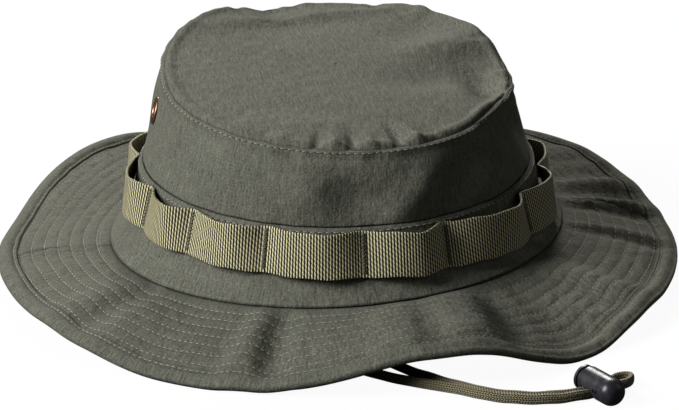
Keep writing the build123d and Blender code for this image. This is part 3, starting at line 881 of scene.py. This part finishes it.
def smooth_side(angle, v, out):
    """The upper side panel without its simulated sag, v from 0 at the middle seam to 1 at the tip seam."""
    points = upper_panel.at(angle, v, out + lobed(0, TIP_PULLS, angle) * np.clip(v, 0, 1) ** 3)
    points[..., 2] += tip_warp(angle) * np.clip(v, 0, 1) ** 2
    return points


def coarse_crown():
    """A grid from near the middle of the tip out to its seam and down to the seam above the band."""
    angle = np.arange(144) * 2.5
    rows = []
    for rho in np.linspace(0.08, 1, 18):
        rows.append(smooth_tip(angle, np.full(144, rho)))
    for v in np.linspace(1, 0, 12)[1:]:
        rows.append(smooth_side(angle, np.full(144, v), side_relief(angle, v)))
    return np.array(rows)


crown_grid = coarse_crown()
CROWN_ROWS = len(crown_grid)
crown_pins = np.full(crown_grid.shape[:2], 0.35)
crown_pins[17] = 0.75
crown_pins[-1] = 1.0
crown_drape = Drape(
    crown_grid, crown_pins, cap=2.6, slack=0.012, stiffness=20, bending=4.0, gravity=0.6, frames=16, soften=5
)
middle_offset = crown_drape.offset[0].mean(axis=0)
for ring, share in enumerate((1.0, 0.75, 0.5, 0.25)):
    crown_drape.offset[ring] += share * (middle_offset - crown_drape.offset[ring])


def tip_share(rho):
    return np.clip((rho - 0.08) / 0.92, 0, 1) * 17 / (CROWN_ROWS - 1)


def side_share(v):
    return (17 + (1 - v) * 11) / (CROWN_ROWS - 1)


brim_angles = np.arange(240) * 1.5
brim_grid = np.array([brim_point(brim_angles, np.full(240, s)) for s in np.linspace(0, 1, 14)])
brim_pins = np.full(brim_grid.shape[:2], 0.45)
brim_pins[0] = 1.0
brim_drape = Drape(
    brim_grid, brim_pins, cap=1.4, slack=0.010, stiffness=20, bending=3.0, gravity=0.3, frames=14, soften=4
)
brim_drape.offset[9:] *= np.linspace(1, 0.15, 5)[:, None, None]


# ---------------------------------------------------------------- crown
SEAM_THREAD_R = 0.24


def painted_hole_shadows(run):
    """Painted shadow: short dark runs between a closed row's stitches, where the thread goes down into the
    cloth.
    """
    start, end, up = run
    return end, np.roll(start, -1, axis=0), up


def row_at(level, rows, grid):
    """One closed row of a panel's grid of points or normals, at a level between its rows."""
    columns = []
    for j in range(COLUMNS):
        columns.append([np.interp(level, rows, grid[:, j, k]) for k in range(3)])
    return np.array(columns)


def sew_seam(name, level, rows, points, pitch, length, seed):
    """A closed row of stitches along a panel at a level, with the painted shadow of the needle holes between
    them.
    """
    path = row_at(level, rows, points)
    up = row_at(level, rows, normals_of(points, True))
    run = run_of_stitches(path, up, pitch, length, seed, closed=True)
    thread_mesh(f"{name}_stitches", [run], SEAM_THREAD_R, seam_thread)
    # Dark thread between the stitches: painted shadow of the needle holes.
    thread_mesh(f"{name}_painted_hole_shadows", [painted_hole_shadows(run)], SEAM_THREAD_R, hole_shadow_thread)


def build_crown():
    tip_rows = np.concatenate([np.linspace(0.0005, 0.9, 50), np.linspace(0.91, 1.0, 14), [1.006]])
    angle, rho = np.meshgrid(all_round, tip_rows)
    edge = (1 - rho) * 80
    ridge = 0.8 * np.exp(-(((edge - 3.2) / 2.0) ** 2))
    ridge = ridge - 2.3 * np.exp(-((edge / 0.9) ** 2)) - 2.0 * (rho > 1.003)
    gathers = ripple(angle, 21, 26, 60, 0.25) * np.exp(-edge / 6)
    for centre, wide, height, reach in TIP_GATHERS:
        gathers = gathers + height * hill(turn(angle, centre), wide) * np.exp(-(((edge - 1) / reach) ** 2))
    points = smooth_tip(angle, rho, ridge + gathers) + crown_drape.at(angle, tip_share(rho))
    points = points[::-1]
    flat_uv = np.concatenate([points[..., :2], points[:, :1, :2]], axis=1)
    sheet("crown_tip_cloth", points, True, ripstop, stands_for=("crown_tip",), uv=flat_uv)

    foot_rows = [-0.07, -0.035, 0, 0.007, 0.014]
    low_rows = np.linspace(0.025, 0.09, 5)
    high_rows = np.linspace(0.92, 0.98, 6)
    rows = np.concatenate([foot_rows, low_rows, np.linspace(0.115, 0.9, 34), high_rows, [0.99, 1]])
    angle, v = np.meshgrid(all_round, rows)
    out = side_relief(angle, v)
    out -= 0.5 * np.clip(1 - v * 44 / 0.6, 0, 2.2) + 1.5 * np.exp(-(((1 - v) * 40 / 0.7) ** 2))
    out += 0.6 * hill((1 - v) * 40 - 2.6, 3.0)
    points = smooth_side(angle, v, out) + crown_drape.at(angle, side_share(v))
    points[..., 2] -= 1.2 * np.exp(-(((1 - v) * 40 / 0.7) ** 2))
    side = sheet("crown_side_upper_cloth", points, True, ripstop, stands_for=("crown_side_upper",))
    sew_seam("tip_seam", 0.944, rows, points, 3.1, 2.2, 31)

    low_rows = np.linspace(0.03, 0.12, 5)
    rows = np.concatenate([[0, 0.012], low_rows, np.linspace(0.16, 0.86, 18), np.linspace(0.88, 1, 9)])
    angle, v = np.meshgrid(all_round, rows)
    out = 0.6 * hill((1 - v) * 34 - 1.8, 3.0) - 0.05 * np.exp(-(((1 - v) * 34 / 0.5) ** 2))
    out += ripple(angle, 14, 8, 24, 0.35) * np.sin(np.pi * v) + 0.7 * np.exp(-v * 34 / 2.5)
    out -= 1.5 * (v < 0.001)
    points = lower_panel.at(angle, v, out)
    points[..., 2] -= 1.4 * np.exp(-v * 34 / 1.2)
    sheet("crown_side_lower_cloth", points, True, ripstop, stands_for=("crown_side_lower",))
    sew_seam("side_seam", 0.94, rows, points, 3.2, 2.3, 32)
    return side


# ---------------------------------------------------------------- brim
ROW_SPACING = 5.85
ROW_COUNT = 8
BORDER = 7.2


def row_distances(width):
    """Distance from the seam of each stitched row; the last one holds the border down."""
    inner = [6.2 + ROW_SPACING * k for k in range(ROW_COUNT - 1)]
    return inner, width - BORDER


def quilt(angle, s):
    """Height of the quilted cloth between the stitched rows, which pull it down."""
    width = brim_width(angle)
    distance = s * width
    inner, border = row_distances(width)
    height = np.zeros(np.shape(distance))
    for k, row in enumerate(inner + [border]):
        depth = 0.75 if row is border else 0.4
        height -= depth * np.exp(-(((distance - row) / 1.0) ** 2))
        pull = ripple(angle, 50 + k, 50, 110, 0.14)
        height += pull * hill(distance - row - ROW_SPACING / 2, ROW_SPACING / 2)
    height += 0.7 * hill(distance - border - 3.4, 3.6) - 0.5 * hill(distance - border + 2.0, 1.2)
    return height


def brim_top(angle, s, above=0.0):
    """The finished top face of the brim."""
    point = brim_point(angle, s, above + quilt(angle, s))
    ease = np.clip(s * 6, 0, 1)[..., None]
    return point + brim_drape.at(angle, s) * ease


def brim_under(angle, s, below=0.0):
    """The finished under face of the brim."""
    point = brim_point(angle, s, -BRIM_STACK - below - 0.45 * quilt(angle, s))
    ease = np.clip(s * 6, 0, 1)[..., None]
    return point + brim_drape.at(angle, s) * ease


def build_brim():
    rows = np.linspace(-0.05, 0.985, 84)
    runs = []
    under_runs = []
    for half, first in (("front", -90), ("back", 90)):
        columns = np.linspace(first - 0.1, first + 180.1, 300)
        angle, s = np.meshgrid(columns, rows)
        from_end = np.minimum(angle - first, first + 180 - angle) * 2.2
        pinch = 0.6 * np.exp(-((from_end / 1.1) ** 2))
        points = brim_top(angle, s, -pinch)
        points = points[::-1]
        sheet(f"brim_{half}_cloth", points, False, ripstop, stands_for=(f"brim_top_{half}",))
        points = brim_under(angle, s, -pinch)
        under_name = f"brim_{half}_under_cloth"
        sheet(under_name, points, False, ripstop_under, stands_for=(f"brim_under_{half}",))
    angle = np.linspace(0, 360, 1440, endpoint=False)
    width = brim_width(angle)
    inner, border = row_distances(width)
    for k, row in enumerate(inner + [border]):
        lift = 0.85 if row is border else 0.0
        for make, found, side in ((brim_top, runs, 1), (brim_under, under_runs, -1)):
            path = make(angle, row / width, lift)
            beside = make(angle, row / width + 0.02, lift)
            up = np.cross(np.roll(path, -1, axis=0) - np.roll(path, 1, axis=0), path - beside) * side
            up /= np.linalg.norm(up, axis=-1, keepdims=True)
            found.append(run_of_stitches(path, up, 2.75, 1.95, 60 + k, closed=True))
    thread_mesh("brim_row_stitches", runs, 0.21, pale_thread)
    thread_mesh("brim_row_stitches_under", under_runs, 0.21, dark_thread)


def build_border():
    """The border strip: from its inner edge on top, out round the rim, and back underneath."""
    columns = np.linspace(0, 360, 720, endpoint=False)
    width = brim_width(columns)
    outline = []
    reach = BORDER + 1.6
    for distance in np.concatenate([[reach, reach - 0.25, reach - 0.5], np.linspace(reach - 1, 0.9, 12)]):
        outline.append((distance, 1))
    for distance in np.concatenate([np.linspace(0.9, reach - 1, 12), [reach - 0.5, reach - 0.25, reach]]):
        outline.append((distance, -1))
    rows = []
    for distance, side in outline:
        share = 1 - distance / width
        edge_fade = np.clip((reach - distance) / 0.5, 0, 1)
        lift = -0.2 + 0.9 * edge_fade
        maker = brim_top if side > 0 else brim_under
        rows.append(maker(columns, share, lift))
    count = 8
    upper = rows[14]
    lower = rows[15]
    middle = (upper + lower) / 2
    half = (upper - lower) / 2
    outward = place(columns, 1.0, 0.0)
    bulge = []
    for k in range(1, count):
        a = pi * k / count
        bulge.append(middle + half * cos(a) + outward * (1.35 * sin(a)))
    points = np.array(rows[:15] + bulge + rows[15:])
    uv = cloth_uv(points, True)[::-1]
    sheet("brim_border_strip", points[::-1], True, ripstop, thick=0.45, stands_for=("brim_binding",), uv=uv)


def build_interlining():
    """The felt inside the brim, seen only at its inner edge."""
    columns = np.linspace(0, 360, 360, endpoint=False)
    rows = [brim_point(columns, np.full(360, s), -1.25) for s in np.linspace(-0.045, 0.74, 12)]
    points = np.array(rows)[::-1]
    sheet("brim_felt", points, True, felt, 0.4, ("brim_interlining",))


# ---------------------------------------------------------------- loop band
def band_profile():
    """Angle, stand-off at the lower and the upper edge of the band, at closely spaced places all round."""
    draw = np.random.default_rng(5)
    flat = np.degrees(TACK_FLAT / 92)
    angles = []
    low = []
    high = []
    following_tacks = TACK_ANGLES[1:] + [TACK_ANGLES[0] + 360]
    for start, following in zip(TACK_ANGLES, following_tacks):
        spacing = following - start
        bulge_low = LOOP_BULGE_LOW * draw.uniform(1.6, 2.1)
        bulge_high = LOOP_BULGE_HIGH * draw.uniform(0.85, 1.08)
        skew = draw.uniform(0.22, 0.4)
        for t in np.linspace(-0.5, 0.5, 5)[:-1]:
            angles.append(start + flat * t)
            low.append(0.0)
            high.append(0.0)
        for t in np.linspace(-1, 1, 29)[:-1]:
            bent = (t - skew) / (1 - skew * np.sign(t - skew))
            shape = 1 - abs(bent) ** 1.6
            angles.append(start + flat / 2 + (spacing - flat) * (t + 1) / 2)
            low.append(bulge_low * shape)
            high.append(bulge_high * shape)
    return np.array(angles), np.array(low), np.array(high)


def band_point(angle, v, stand_off):
    """Points of the band's outer face, v from 0 at its lower edge to 1 at its upper edge."""
    height = height_on(WEBBING_TILT_LOW, angle, 94.0) + WEBBING_HEIGHT * v
    radius = wall_radius(angle, height) + WEBBING_STAND_OFF + WEBBING + stand_off
    return place(angle, radius, height)


def build_band():
    angles, low, high = band_profile()
    levels = np.linspace(0, 1, 15)
    wave = ripple(angles, 8, 14, 40, 0.22)
    rows = []
    foot = band_point(angles, 0.0, low)
    head = band_point(angles, 1.0, high)
    for v in levels:
        row = foot + (head - foot) * v
        row[:, 2] += wave
        rows.append(row)
    points = np.array(rows)
    u = cloth_uv(points, True)[..., 0]
    level = np.repeat((levels * WEBBING_HEIGHT)[:, None], u.shape[1], axis=1)
    uv = np.stack([u, level], axis=-1)
    band = sheet("loop_band", points, True, webbing, WEBBING, ("webbing_band",), uv)
    edge = band.modifiers.new("edge", "BEVEL")
    edge.width = 0.35 * MM
    edge.segments = 2
    edge.limit_method = "ANGLE"
    edge.angle_limit = radians(60)
    build_tacks()


def build_tacks():
    """Zigzag bar tacks that hold the band down."""
    draw = np.random.default_rng(6)
    starts = []
    ends = []
    ups = []
    for tack in TACK_ANGLES:
        angle = np.array([float(tack)])
        foot = band_point(angle, 0.0, 0.12)[0]
        head = band_point(angle, 1.0, 0.12)[0]
        aside = np.cross([0, 0, 1.0], place(angle[0], 1.0, 0.0))
        up = np.cross(aside, head - foot)
        up /= np.linalg.norm(up)
        for k in range(22):
            v = (1.6 + k * 0.74) / WEBBING_HEIGHT
            middle = foot + (head - foot) * v
            swing = (1 if k % 2 else -1) * 0.9 + draw.normal(0, 0.06)
            starts.append(middle - aside * swing)
            ends.append(middle + aside * swing + [0, 0, 0.7])
            ups.append(up)
    runs = [(np.array(starts), np.array(ends), np.array(ups))]
    tacks = thread_mesh("band_tacks", runs, 0.3, tack_thread)
    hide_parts("bar_tacks")


# ---------------------------------------------------------------- inside the crown
def build_inside():
    columns = np.arange(360) * 1.0
    inner = Panel(
        [
            (0.0, (16.6, 4.9, 82.0), (98.2, 99.2)),
            (0.25, FLARE_TILT, (93.4, 96.2)),
            (0.52, WAIST_TILT, (89.6, 93.2)),
            (1.0, (48.4, 2.8, 150.0), (85.4, 89.0)),
        ]
    )
    rows = np.linspace(0, 1, 26)
    angle, v = np.meshgrid(columns, rows)
    out = ripple(angle, 41, 6, 18, 0.35) * v - 0.2
    points = inner.at(angle, v, out)
    sheet("sweatband_cloth", points, True, band_cloth, 0.9, ("sweatband",))
    runs = []
    for level, seed in ((0.06, 42), (0.94, 43)):
        path = inner.at(columns, np.full(360, level), -1.15 + ripple(columns, 41, 6, 18, 0.35) * level)
        up = -place(columns, 1.0, 0.3)
        up /= np.linalg.norm(up, axis=-1, keepdims=True)
        runs.append(run_of_stitches(path, up, 3.2, 2.3, seed, closed=True))
    thread_mesh("sweatband_stitches", runs, 0.22, pale_thread)

    tape = Panel([(0.0, (79.3, 10.5, 183.0), (78.9, 82.6)), (1.0, (88.3, 10.5, 183.0), (76.1, 79.8))])
    rows = np.linspace(0, 1, 9)
    angle, v = np.meshgrid(columns, rows)
    points = tape.at(angle, v, ripple(angle, 44, 10, 30, 0.15))
    sheet("tip_tape", points, True, tape_cloth, 0.45, ("tip_seam_tape",))

    low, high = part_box("size_label")
    half = (high.x - low.x) / 2 / MM
    edge = np.degrees(half / 88)
    rows = np.linspace(0, 1, 16)
    angle, v = np.meshgrid(np.linspace(180 - edge, 180 + edge, 40), rows)
    label_v = 0.52 + 0.44 * v
    swell = 0.5 * np.sin(np.pi * v) * np.sin(np.pi * (angle - 180 + edge) / (2 * edge))
    points = inner.at(angle, label_v, -1.35 - swell)
    uv = cloth_uv(points, False)
    sheet("blank_label", points[:, ::-1], False, label_cloth, 0.35, ("size_label",), uv)


# ---------------------------------------------------------------- vents
VENT_ANGLES = (93.5, -93.5)
VENT_TILT = 15.5
VENT_BORE_R = 3.75
VENT_BARREL_R = 4.15
VENT_FLANGE_R = 6.3
VENT_ROLL = (5.05, 1.25, 0.75)  # middle radius, half width and height of the rolled rim
MESH_PITCH = 0.9
MESH_WIRE_R = 0.17
HOLE_R = 4.9  # cloth taken away inside a ring


def vent_frame(angle):
    """Origin on the side panel, outward axis, and two directions across it."""
    where = np.array([float(angle)])
    level = np.array([VENT_SHARE])
    tilt = radians(VENT_TILT)
    away = place(where, 1.0, 0.0)[0]
    axis = away * cos(tilt) + np.array([0, 0, sin(tilt)])
    panel = smooth_side(where, level, side_relief(where, level))
    origin = (panel + crown_drape.at(where, side_share(level)))[0]
    side = np.cross([0, 0, 1], axis)
    side /= np.linalg.norm(side)
    return origin, axis, side, np.cross(axis, side)


def lathe(name, frames, profile, material, sides=64):
    """Rings turned from one closed profile of (radius, height) points, one ring for each frame."""
    points = []
    faces = []
    count = len(profile)
    for number, (origin, axis, side, up) in enumerate(frames):
        base = number * sides * count
        for k in range(sides):
            a = 2 * pi * k / sides
            spoke = side * cos(a) + up * sin(a)
            for radius, height in profile:
                points.append(origin + spoke * radius + axis * height)
        for k in range(sides):
            near = base + k * count
            far = base + (k + 1) % sides * count
            for p in range(count):
                after = (p + 1) % count
                faces.append((near + p, far + p, far + after, near + after))
    return make_object(name, np.array(points), faces, None, material, "hat")


def build_vents():
    frames = [vent_frame(angle) for angle in VENT_ANGLES]
    middle_r, half_wide, high = VENT_ROLL
    rolled = []
    for k in range(1, 13):
        a = pi * k / 12
        rolled.append((middle_r - half_wide * cos(a), 0.35 + high * sin(a)))
    barrel = [(VENT_BORE_R, -1.9), (VENT_BORE_R, 0.2)]
    flange = [(VENT_FLANGE_R, 0.1), (VENT_BARREL_R, 0.05), (VENT_BARREL_R, -1.9)]
    profile = barrel + rolled + flange
    eyelets = lathe("vent_rings", frames, profile, copper)
    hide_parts("vent_eyelets")
    washer = [(4.3, -1.25), (4.3, -1.65), (6.0, -1.7), (VENT_FLANGE_R, -1.45), (6.0, -1.2)]
    backs = lathe("vent_backs", frames, washer, copper)
    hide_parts("vent_washers")

    build_screens(frames)


def build_screens(frames):
    """A woven wire disc at the back of each vent."""
    points = []
    faces = []
    for origin, axis, side, up in frames:
        for first, second in ((side, up), (up, side)):
            for k in range(-4, 5):
                offset = k * MESH_PITCH
                reach = np.sqrt(VENT_BARREL_R**2 - offset**2)
                stations = np.linspace(-reach, reach, 25)
                over = 1 if first is side else -1
                weave = 0.16 * np.cos(stations / MESH_PITCH * pi + (k % 2) * pi) * over
                base = len(points)
                for t, w in zip(stations, weave):
                    middle = origin + first * t + second * offset + axis * (-2.25 + w)
                    for a in (0, 2 * pi / 3, 4 * pi / 3):
                        points.append(middle + MESH_WIRE_R * (second * cos(a) + axis * sin(a)))
                for i in range(24):
                    for a in range(3):
                        b = (a + 1) % 3
                        low = base + i * 3
                        faces.append((low + a, low + b, low + 3 + b, low + 3 + a))
    screens = make_object("vent_mesh", np.array(points), faces, None, mesh_wire, "hat")
    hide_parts("vent_screens")


def cut_vent_holes(side):
    """Opens the side panel at the vents by dropping the faces inside each ring."""
    mesh = side.data
    work = bmesh.new()
    work.from_mesh(mesh)
    doomed = []
    for angle in VENT_ANGLES:
        origin, axis, _, _ = vent_frame(angle)
        for face in work.faces:
            away = np.array(face.calc_center_median()) / MM - origin
            along = float(away @ axis)
            if np.linalg.norm(away - axis * along) < HOLE_R and abs(along) < 9:
                doomed.append(face)
    bmesh.ops.delete(work, geom=doomed, context="FACES")
    work.to_mesh(mesh)
    work.free()


# ---------------------------------------------------------------- chin cord and its lock
ARC_CENTRE = np.array([60.69, -125.03, 2.6])
ARC_R = 46.0
ARC_START = -40.0
ARC_END = 34.0
CORD_SPACING = 2.8
CORD_HALF_WIDE = 2.2
CORD_HALF_THICK = 1.15
LOCK_ANGLE = 24.0  # where the lock stands on the arc
BARREL_R = 5.75
SPRING_FROM = 7.4
SPRING_TO = 12.1
SPRING_COILS = 3.5
SPRING_R = 3.4
SPRING_WIRE_R = 0.35
SPRING_STATIONS = 141
BECKET_X = 98.5
BECKET_DROP = 7.0
BECKET_HALF_WIDE = 3.6
BECKET_HALF_TALL = 2.1
BECKET_R = 0.75
EYE_R = 2.15  # middle of the cord's end round its becket
LEGS = {
    -1: [
        (-97.4, -8, 3.1),
        (-94.5, -18, 2.8),
        (-83, -42, 2.6),
        (-54, -83, 2.6),
        (-22, -119, 2.6),
        (5, -145, 2.6),
    ],
    1: [
        (98, -5, 12.2),
        (95, -13, 9.4),
        (85, -28, 4.2),
        (66, -42, 2.6),
        (22, -65, 2.6),
        (-4, -106, 2.6),
        (10, -137, 2.6),
    ],
}


def seam_frame():
    along_x, along_y = slopes(SEAM_TILT)
    normal = np.array([-along_x, -along_y, 1.0])
    normal /= np.linalg.norm(normal)
    level = np.array([1.0, 0.0, along_x])
    level /= np.linalg.norm(level)
    return level, normal


def becket_point(side):
    level, normal = seam_frame()
    return np.array([0, 0, SEAM_TILT[0]]) + level * (side * BECKET_X) - normal * BECKET_DROP


def on_arc(radius, angle):
    return ARC_CENTRE + place(np.asarray(angle, float), radius, 0.0)


def smooth_path(knots, first, last, per_span=12):
    """A cubic through the knots with given end directions, by chord length."""
    knots = np.array(knots, float)
    chord = np.linalg.norm(np.diff(knots, axis=0), axis=-1)
    count = len(knots)
    matrix = np.zeros((count, count))
    right = np.zeros((count, 3))
    matrix[0, 0] = matrix[-1, -1] = 1
    right[0] = first
    right[-1] = last
    for i in range(1, count - 1):
        before = chord[i - 1]
        after = chord[i]
        matrix[i, i - 1] = after
        matrix[i, i] = 2 * (before + after)
        matrix[i, i + 1] = before
        step_before = (knots[i] - knots[i - 1]) / before
        step_after = (knots[i + 1] - knots[i]) / after
        right[i] = 3 * (after * step_before + before * step_after)
    slope = np.linalg.solve(matrix, right)
    found = []
    for i in range(count - 1):
        for t in np.arange(per_span) / per_span:
            h = chord[i]
            found.append(
                (2 * t**3 - 3 * t**2 + 1) * knots[i]
                + (t**3 - 2 * t**2 + t) * h * slope[i]
                + (3 * t**2 - 2 * t**3) * knots[i + 1]
                + (t**3 - t**2) * h * slope[i + 1]
            )
    found.append(knots[-1])
    return np.array(found)


def tangents_of(path):
    tangent = np.gradient(path, axis=0)
    return tangent / np.linalg.norm(tangent, axis=-1, keepdims=True)


def build_cord():
    level, normal = seam_frame()
    upright = np.array([0.0, 0.0, 1.0])
    forward = place(np.array(ARC_END + 90), 1.0, 0.0)
    sideways = place(np.array(ARC_END), 1.0, 0.0)
    inner = ARC_R - CORD_SPACING / 2
    outer = ARC_R + CORD_SPACING / 2

    def leg(side, radius):
        start = becket_point(side) - normal * 2.3 + np.array([0, 0.4, 0])
        end = on_arc(radius, ARC_START)
        direction = place(np.array(ARC_START + 90), 1.0, 0.0)
        path = smooth_path([start, *LEGS[side], end], np.array([0, -1.0, 0]), direction)
        arc = on_arc(radius, np.linspace(ARC_START, ARC_END, 60))
        return np.concatenate([path[:-1], arc])

    near = leg(-1, outer)
    far = leg(1, inner)
    neck_in = far[-1]
    neck_out = near[-1]
    middle = (neck_in + neck_out) / 2
    bight = smooth_path(
        [
            neck_out,
            middle + forward * 7 + sideways * 3.2,
            middle + forward * 12.5,
            middle + forward * 7 - sideways * 3.2,
            neck_in,
        ],
        forward,
        -forward,
        10,
    )
    path = np.concatenate([near, bight[1:-1], far[::-1]])
    tangent = tangents_of(path)
    distance = np.concatenate([[0], np.cumsum(np.linalg.norm(np.diff(path, axis=0), axis=-1))])
    whole = distance[-1]
    from_end = np.minimum(distance, whole - distance)
    share = np.clip((from_end - 4) / 55, 0, 1)[:, None]
    share = share * share * (3 - 2 * share)
    handed = np.where(distance < whole / 2, 1.0, -1.0)[:, None]
    wide = level[None] * (1 - share) * handed + upright[None] * share
    sag = ripple(distance / whole * 360, 71, 20, 50, 0.12)
    path = path + upright[None] * (sag * np.clip((from_end - 20) / 40, 0, 1))[:, None]
    size = (CORD_HALF_WIDE, CORD_HALF_THICK)
    cord = tube("chin_cord_braid", path, tangent, wide, *size, braid, "chin_cord", "cord", sides=24)
    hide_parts("chin_cord")
    for side, name in ((-1, "right"), (1, "left")):
        angle = np.arange(40) * 2 * pi / 40
        c = np.cos(angle)[:, None]
        s = np.sin(angle)[:, None]
        ring = becket_point(side) + EYE_R * (c * normal + s * np.array([0, 1.0, 0]))
        along = -s * normal + c * np.array([0, 1.0, 0])
        across = np.repeat(level[None], 40, axis=0)
        eye_name = f"cord_eye_{name}"
        tube(eye_name, ring, along, across, 1.95, 0.95, braid, "chin_cord", "cord", sides=16, closed=True)
    build_beckets(level, normal)


def build_beckets(level, normal):
    """Corded loops under the brim seam, one on each side, as rounded rectangles."""
    power = 0.5
    for side, name in ((-1, "right"), (1, "left")):
        centre = becket_point(side) + normal * BECKET_HALF_TALL
        angle = np.arange(48) * 2 * pi / 48
        across = np.sign(np.cos(angle)) * np.abs(np.cos(angle)) ** power * BECKET_HALF_WIDE
        rise = np.sign(np.sin(angle)) * np.abs(np.sin(angle)) ** power * BECKET_HALF_TALL
        path = centre + across[:, None] * level + rise[:, None] * normal
        tangent = np.roll(path, -1, axis=0) - np.roll(path, 1, axis=0)
        tangent /= np.linalg.norm(tangent, axis=-1, keepdims=True)
        wide = np.repeat(np.array([[0, 1.0, 0]]), 48, axis=0)
        size = (BECKET_R, BECKET_R)
        loop = tube(
            f"becket_{name}", path, tangent, wide, *size, braid, "hat", "tape",
            sides=12, closed=True, square=2,
        )
    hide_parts("cord_beckets")


def dress_lock():
    for name in ("cord_lock_barrel", "cord_lock_plunger"):
        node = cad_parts[name]
        node.data.materials.clear()
        node.data.materials.append(plastic)


def build_spring():
    """The coil from the plunger to the end of the bore."""
    axis = place(LOCK_ANGLE, 1.0, 0.0)
    sideways = np.array([-axis[1], axis[0], 0.0])
    upright = np.array([0.0, 0.0, 1.0])
    middle = np.array([ARC_CENTRE[0], ARC_CENTRE[1], BARREL_R]) + axis * ARC_R
    share = np.linspace(0, 1, SPRING_STATIONS)[:, None]
    turned = 2 * pi * SPRING_COILS * share
    spoke = sideways * np.cos(turned) + upright * np.sin(turned)
    forward = upright * np.cos(turned) - sideways * np.sin(turned)
    path = middle + axis * (SPRING_FROM + (SPRING_TO - SPRING_FROM) * share) + spoke * SPRING_R
    size = (SPRING_WIRE_R, SPRING_WIRE_R)
    spring = tube("lock_spring", path, forward, spoke, *size, steel, "cord_lock", "spring_steel", square=2.0)
    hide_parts("cord_lock_spring")
    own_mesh(spring)


# ---------------------------------------------------------------- stage, light and camera
VIEW_AZIMUTH = -9.0
VIEW_ELEVATION = 20.2
VIEW_DISTANCE = 1.25
TARGET = Vector((0.0015, -0.0002, 0.026))


def direction(azimuth, elevation):
    """Unit vector from the hat towards an azimuth and elevation; azimuth 0 is -Y, 90 is +X."""
    a = radians(azimuth)
    e = radians(elevation)
    return Vector((cos(e) * sin(a), -cos(e) * cos(a), sin(e)))


def aim(thing, where, target):
    thing.location = where
    thing.rotation_euler = (target - where).to_track_quat("-Z", "Y").to_euler()


def add_light(name, azimuth, elevation, distance, size, watts, colour=(1, 1, 1)):
    data = bpy.data.lights.new(name, "AREA")
    data.shape = "RECTANGLE"
    data.size = size[0]
    data.size_y = size[1]
    data.energy = watts
    data.color = colour
    lamp = bpy.data.objects.new(name, data)
    bpy.context.scene.collection.objects.link(lamp)
    target = Vector((0, 0, 0.05))
    aim(lamp, target + direction(azimuth, elevation) * distance, target)
    return lamp


def pale_floor():
    """A matt pale floor, lit from within so that its shadows stay faint, that throws little light back."""
    n = Nodes("floor")
    path = n.tree.nodes.new("ShaderNodeLightPath")
    seen = path.outputs["Is Camera Ray"]
    haze = n.noise(n.place_mm(), 400.0, 2.0)
    shade = n.ramp(haze, 0.0, 1.0, 0.05, 0.06)
    n.put(n.surface.inputs["Emission Color"], (1.0, 1.0, 1.0, 1.0))
    from_axis = n.tree.nodes.new("ShaderNodeVectorMath")
    from_axis.operation = "LENGTH"
    n.tree.links.new(n.place_mm(), from_axis.inputs[0])
    outside = n.ramp(from_axis.outputs["Value"], 80.0, 98.0)  # the floor under the crown stays dark
    n.put(n.surface.inputs["Emission Strength"], n.math("MULTIPLY", n.math("MULTIPLY", seen, outside), 0.95))
    return n.finish(n.brighten((1.0, 1.0, 1.0), shade), None, 0.9, specular=0.0)


def build_stage():
    mesh = bpy.data.meshes.new("floor")
    size = 12.0
    corners = [(-size, -size, 0), (size, -size, 0), (size, size, 0), (-size, size, 0)]
    mesh.from_pydata(corners, [], [(0, 1, 2, 3)])
    floor = bpy.data.objects.new("floor", mesh)
    bpy.context.scene.collection.objects.link(floor)
    mesh.materials.append(pale_floor())

    world = bpy.data.worlds.new("studio")
    bpy.context.scene.world = world
    world.use_nodes = True
    tree = world.node_tree
    background = tree.nodes["Background"]
    path = tree.nodes.new("ShaderNodeLightPath")
    strength = tree.nodes.new("ShaderNodeMapRange")
    strength.inputs["To Min"].default_value = 0.022
    strength.inputs["To Max"].default_value = 1.0
    tree.links.new(path.outputs["Is Camera Ray"], strength.inputs["Value"])
    tree.links.new(strength.outputs[0], background.inputs["Strength"])
    background.inputs["Color"].default_value = (1, 1, 1, 1)

    add_light("key", -75, 31, 2.6, (1.2, 1.2), 92)
    add_light("fill", 72, 24, 2.4, (1.6, 1.6), 3)
    add_light("back", 170, 34, 2.0, (0.6, 0.6), 24, (1.0, 0.97, 0.92))
    bpy.context.scene.view_settings.view_transform = "Standard"


def build_camera():
    data = bpy.data.cameras.new("camera")
    data.sensor_width = 36
    data.lens = 146.7
    camera = bpy.data.objects.new("camera", data)
    bpy.context.scene.collection.objects.link(camera)
    aim(camera, TARGET + direction(VIEW_AZIMUTH, VIEW_ELEVATION) * VIEW_DISTANCE, TARGET)
    bpy.context.scene.camera = camera


side_panel = build_crown()
cut_vent_holes(side_panel)
build_brim()
build_border()
build_interlining()
build_band()
build_inside()
build_vents()
build_cord()
dress_lock()
build_spring()
build_stage()
build_camera()

bpy.context.view_layer.update()
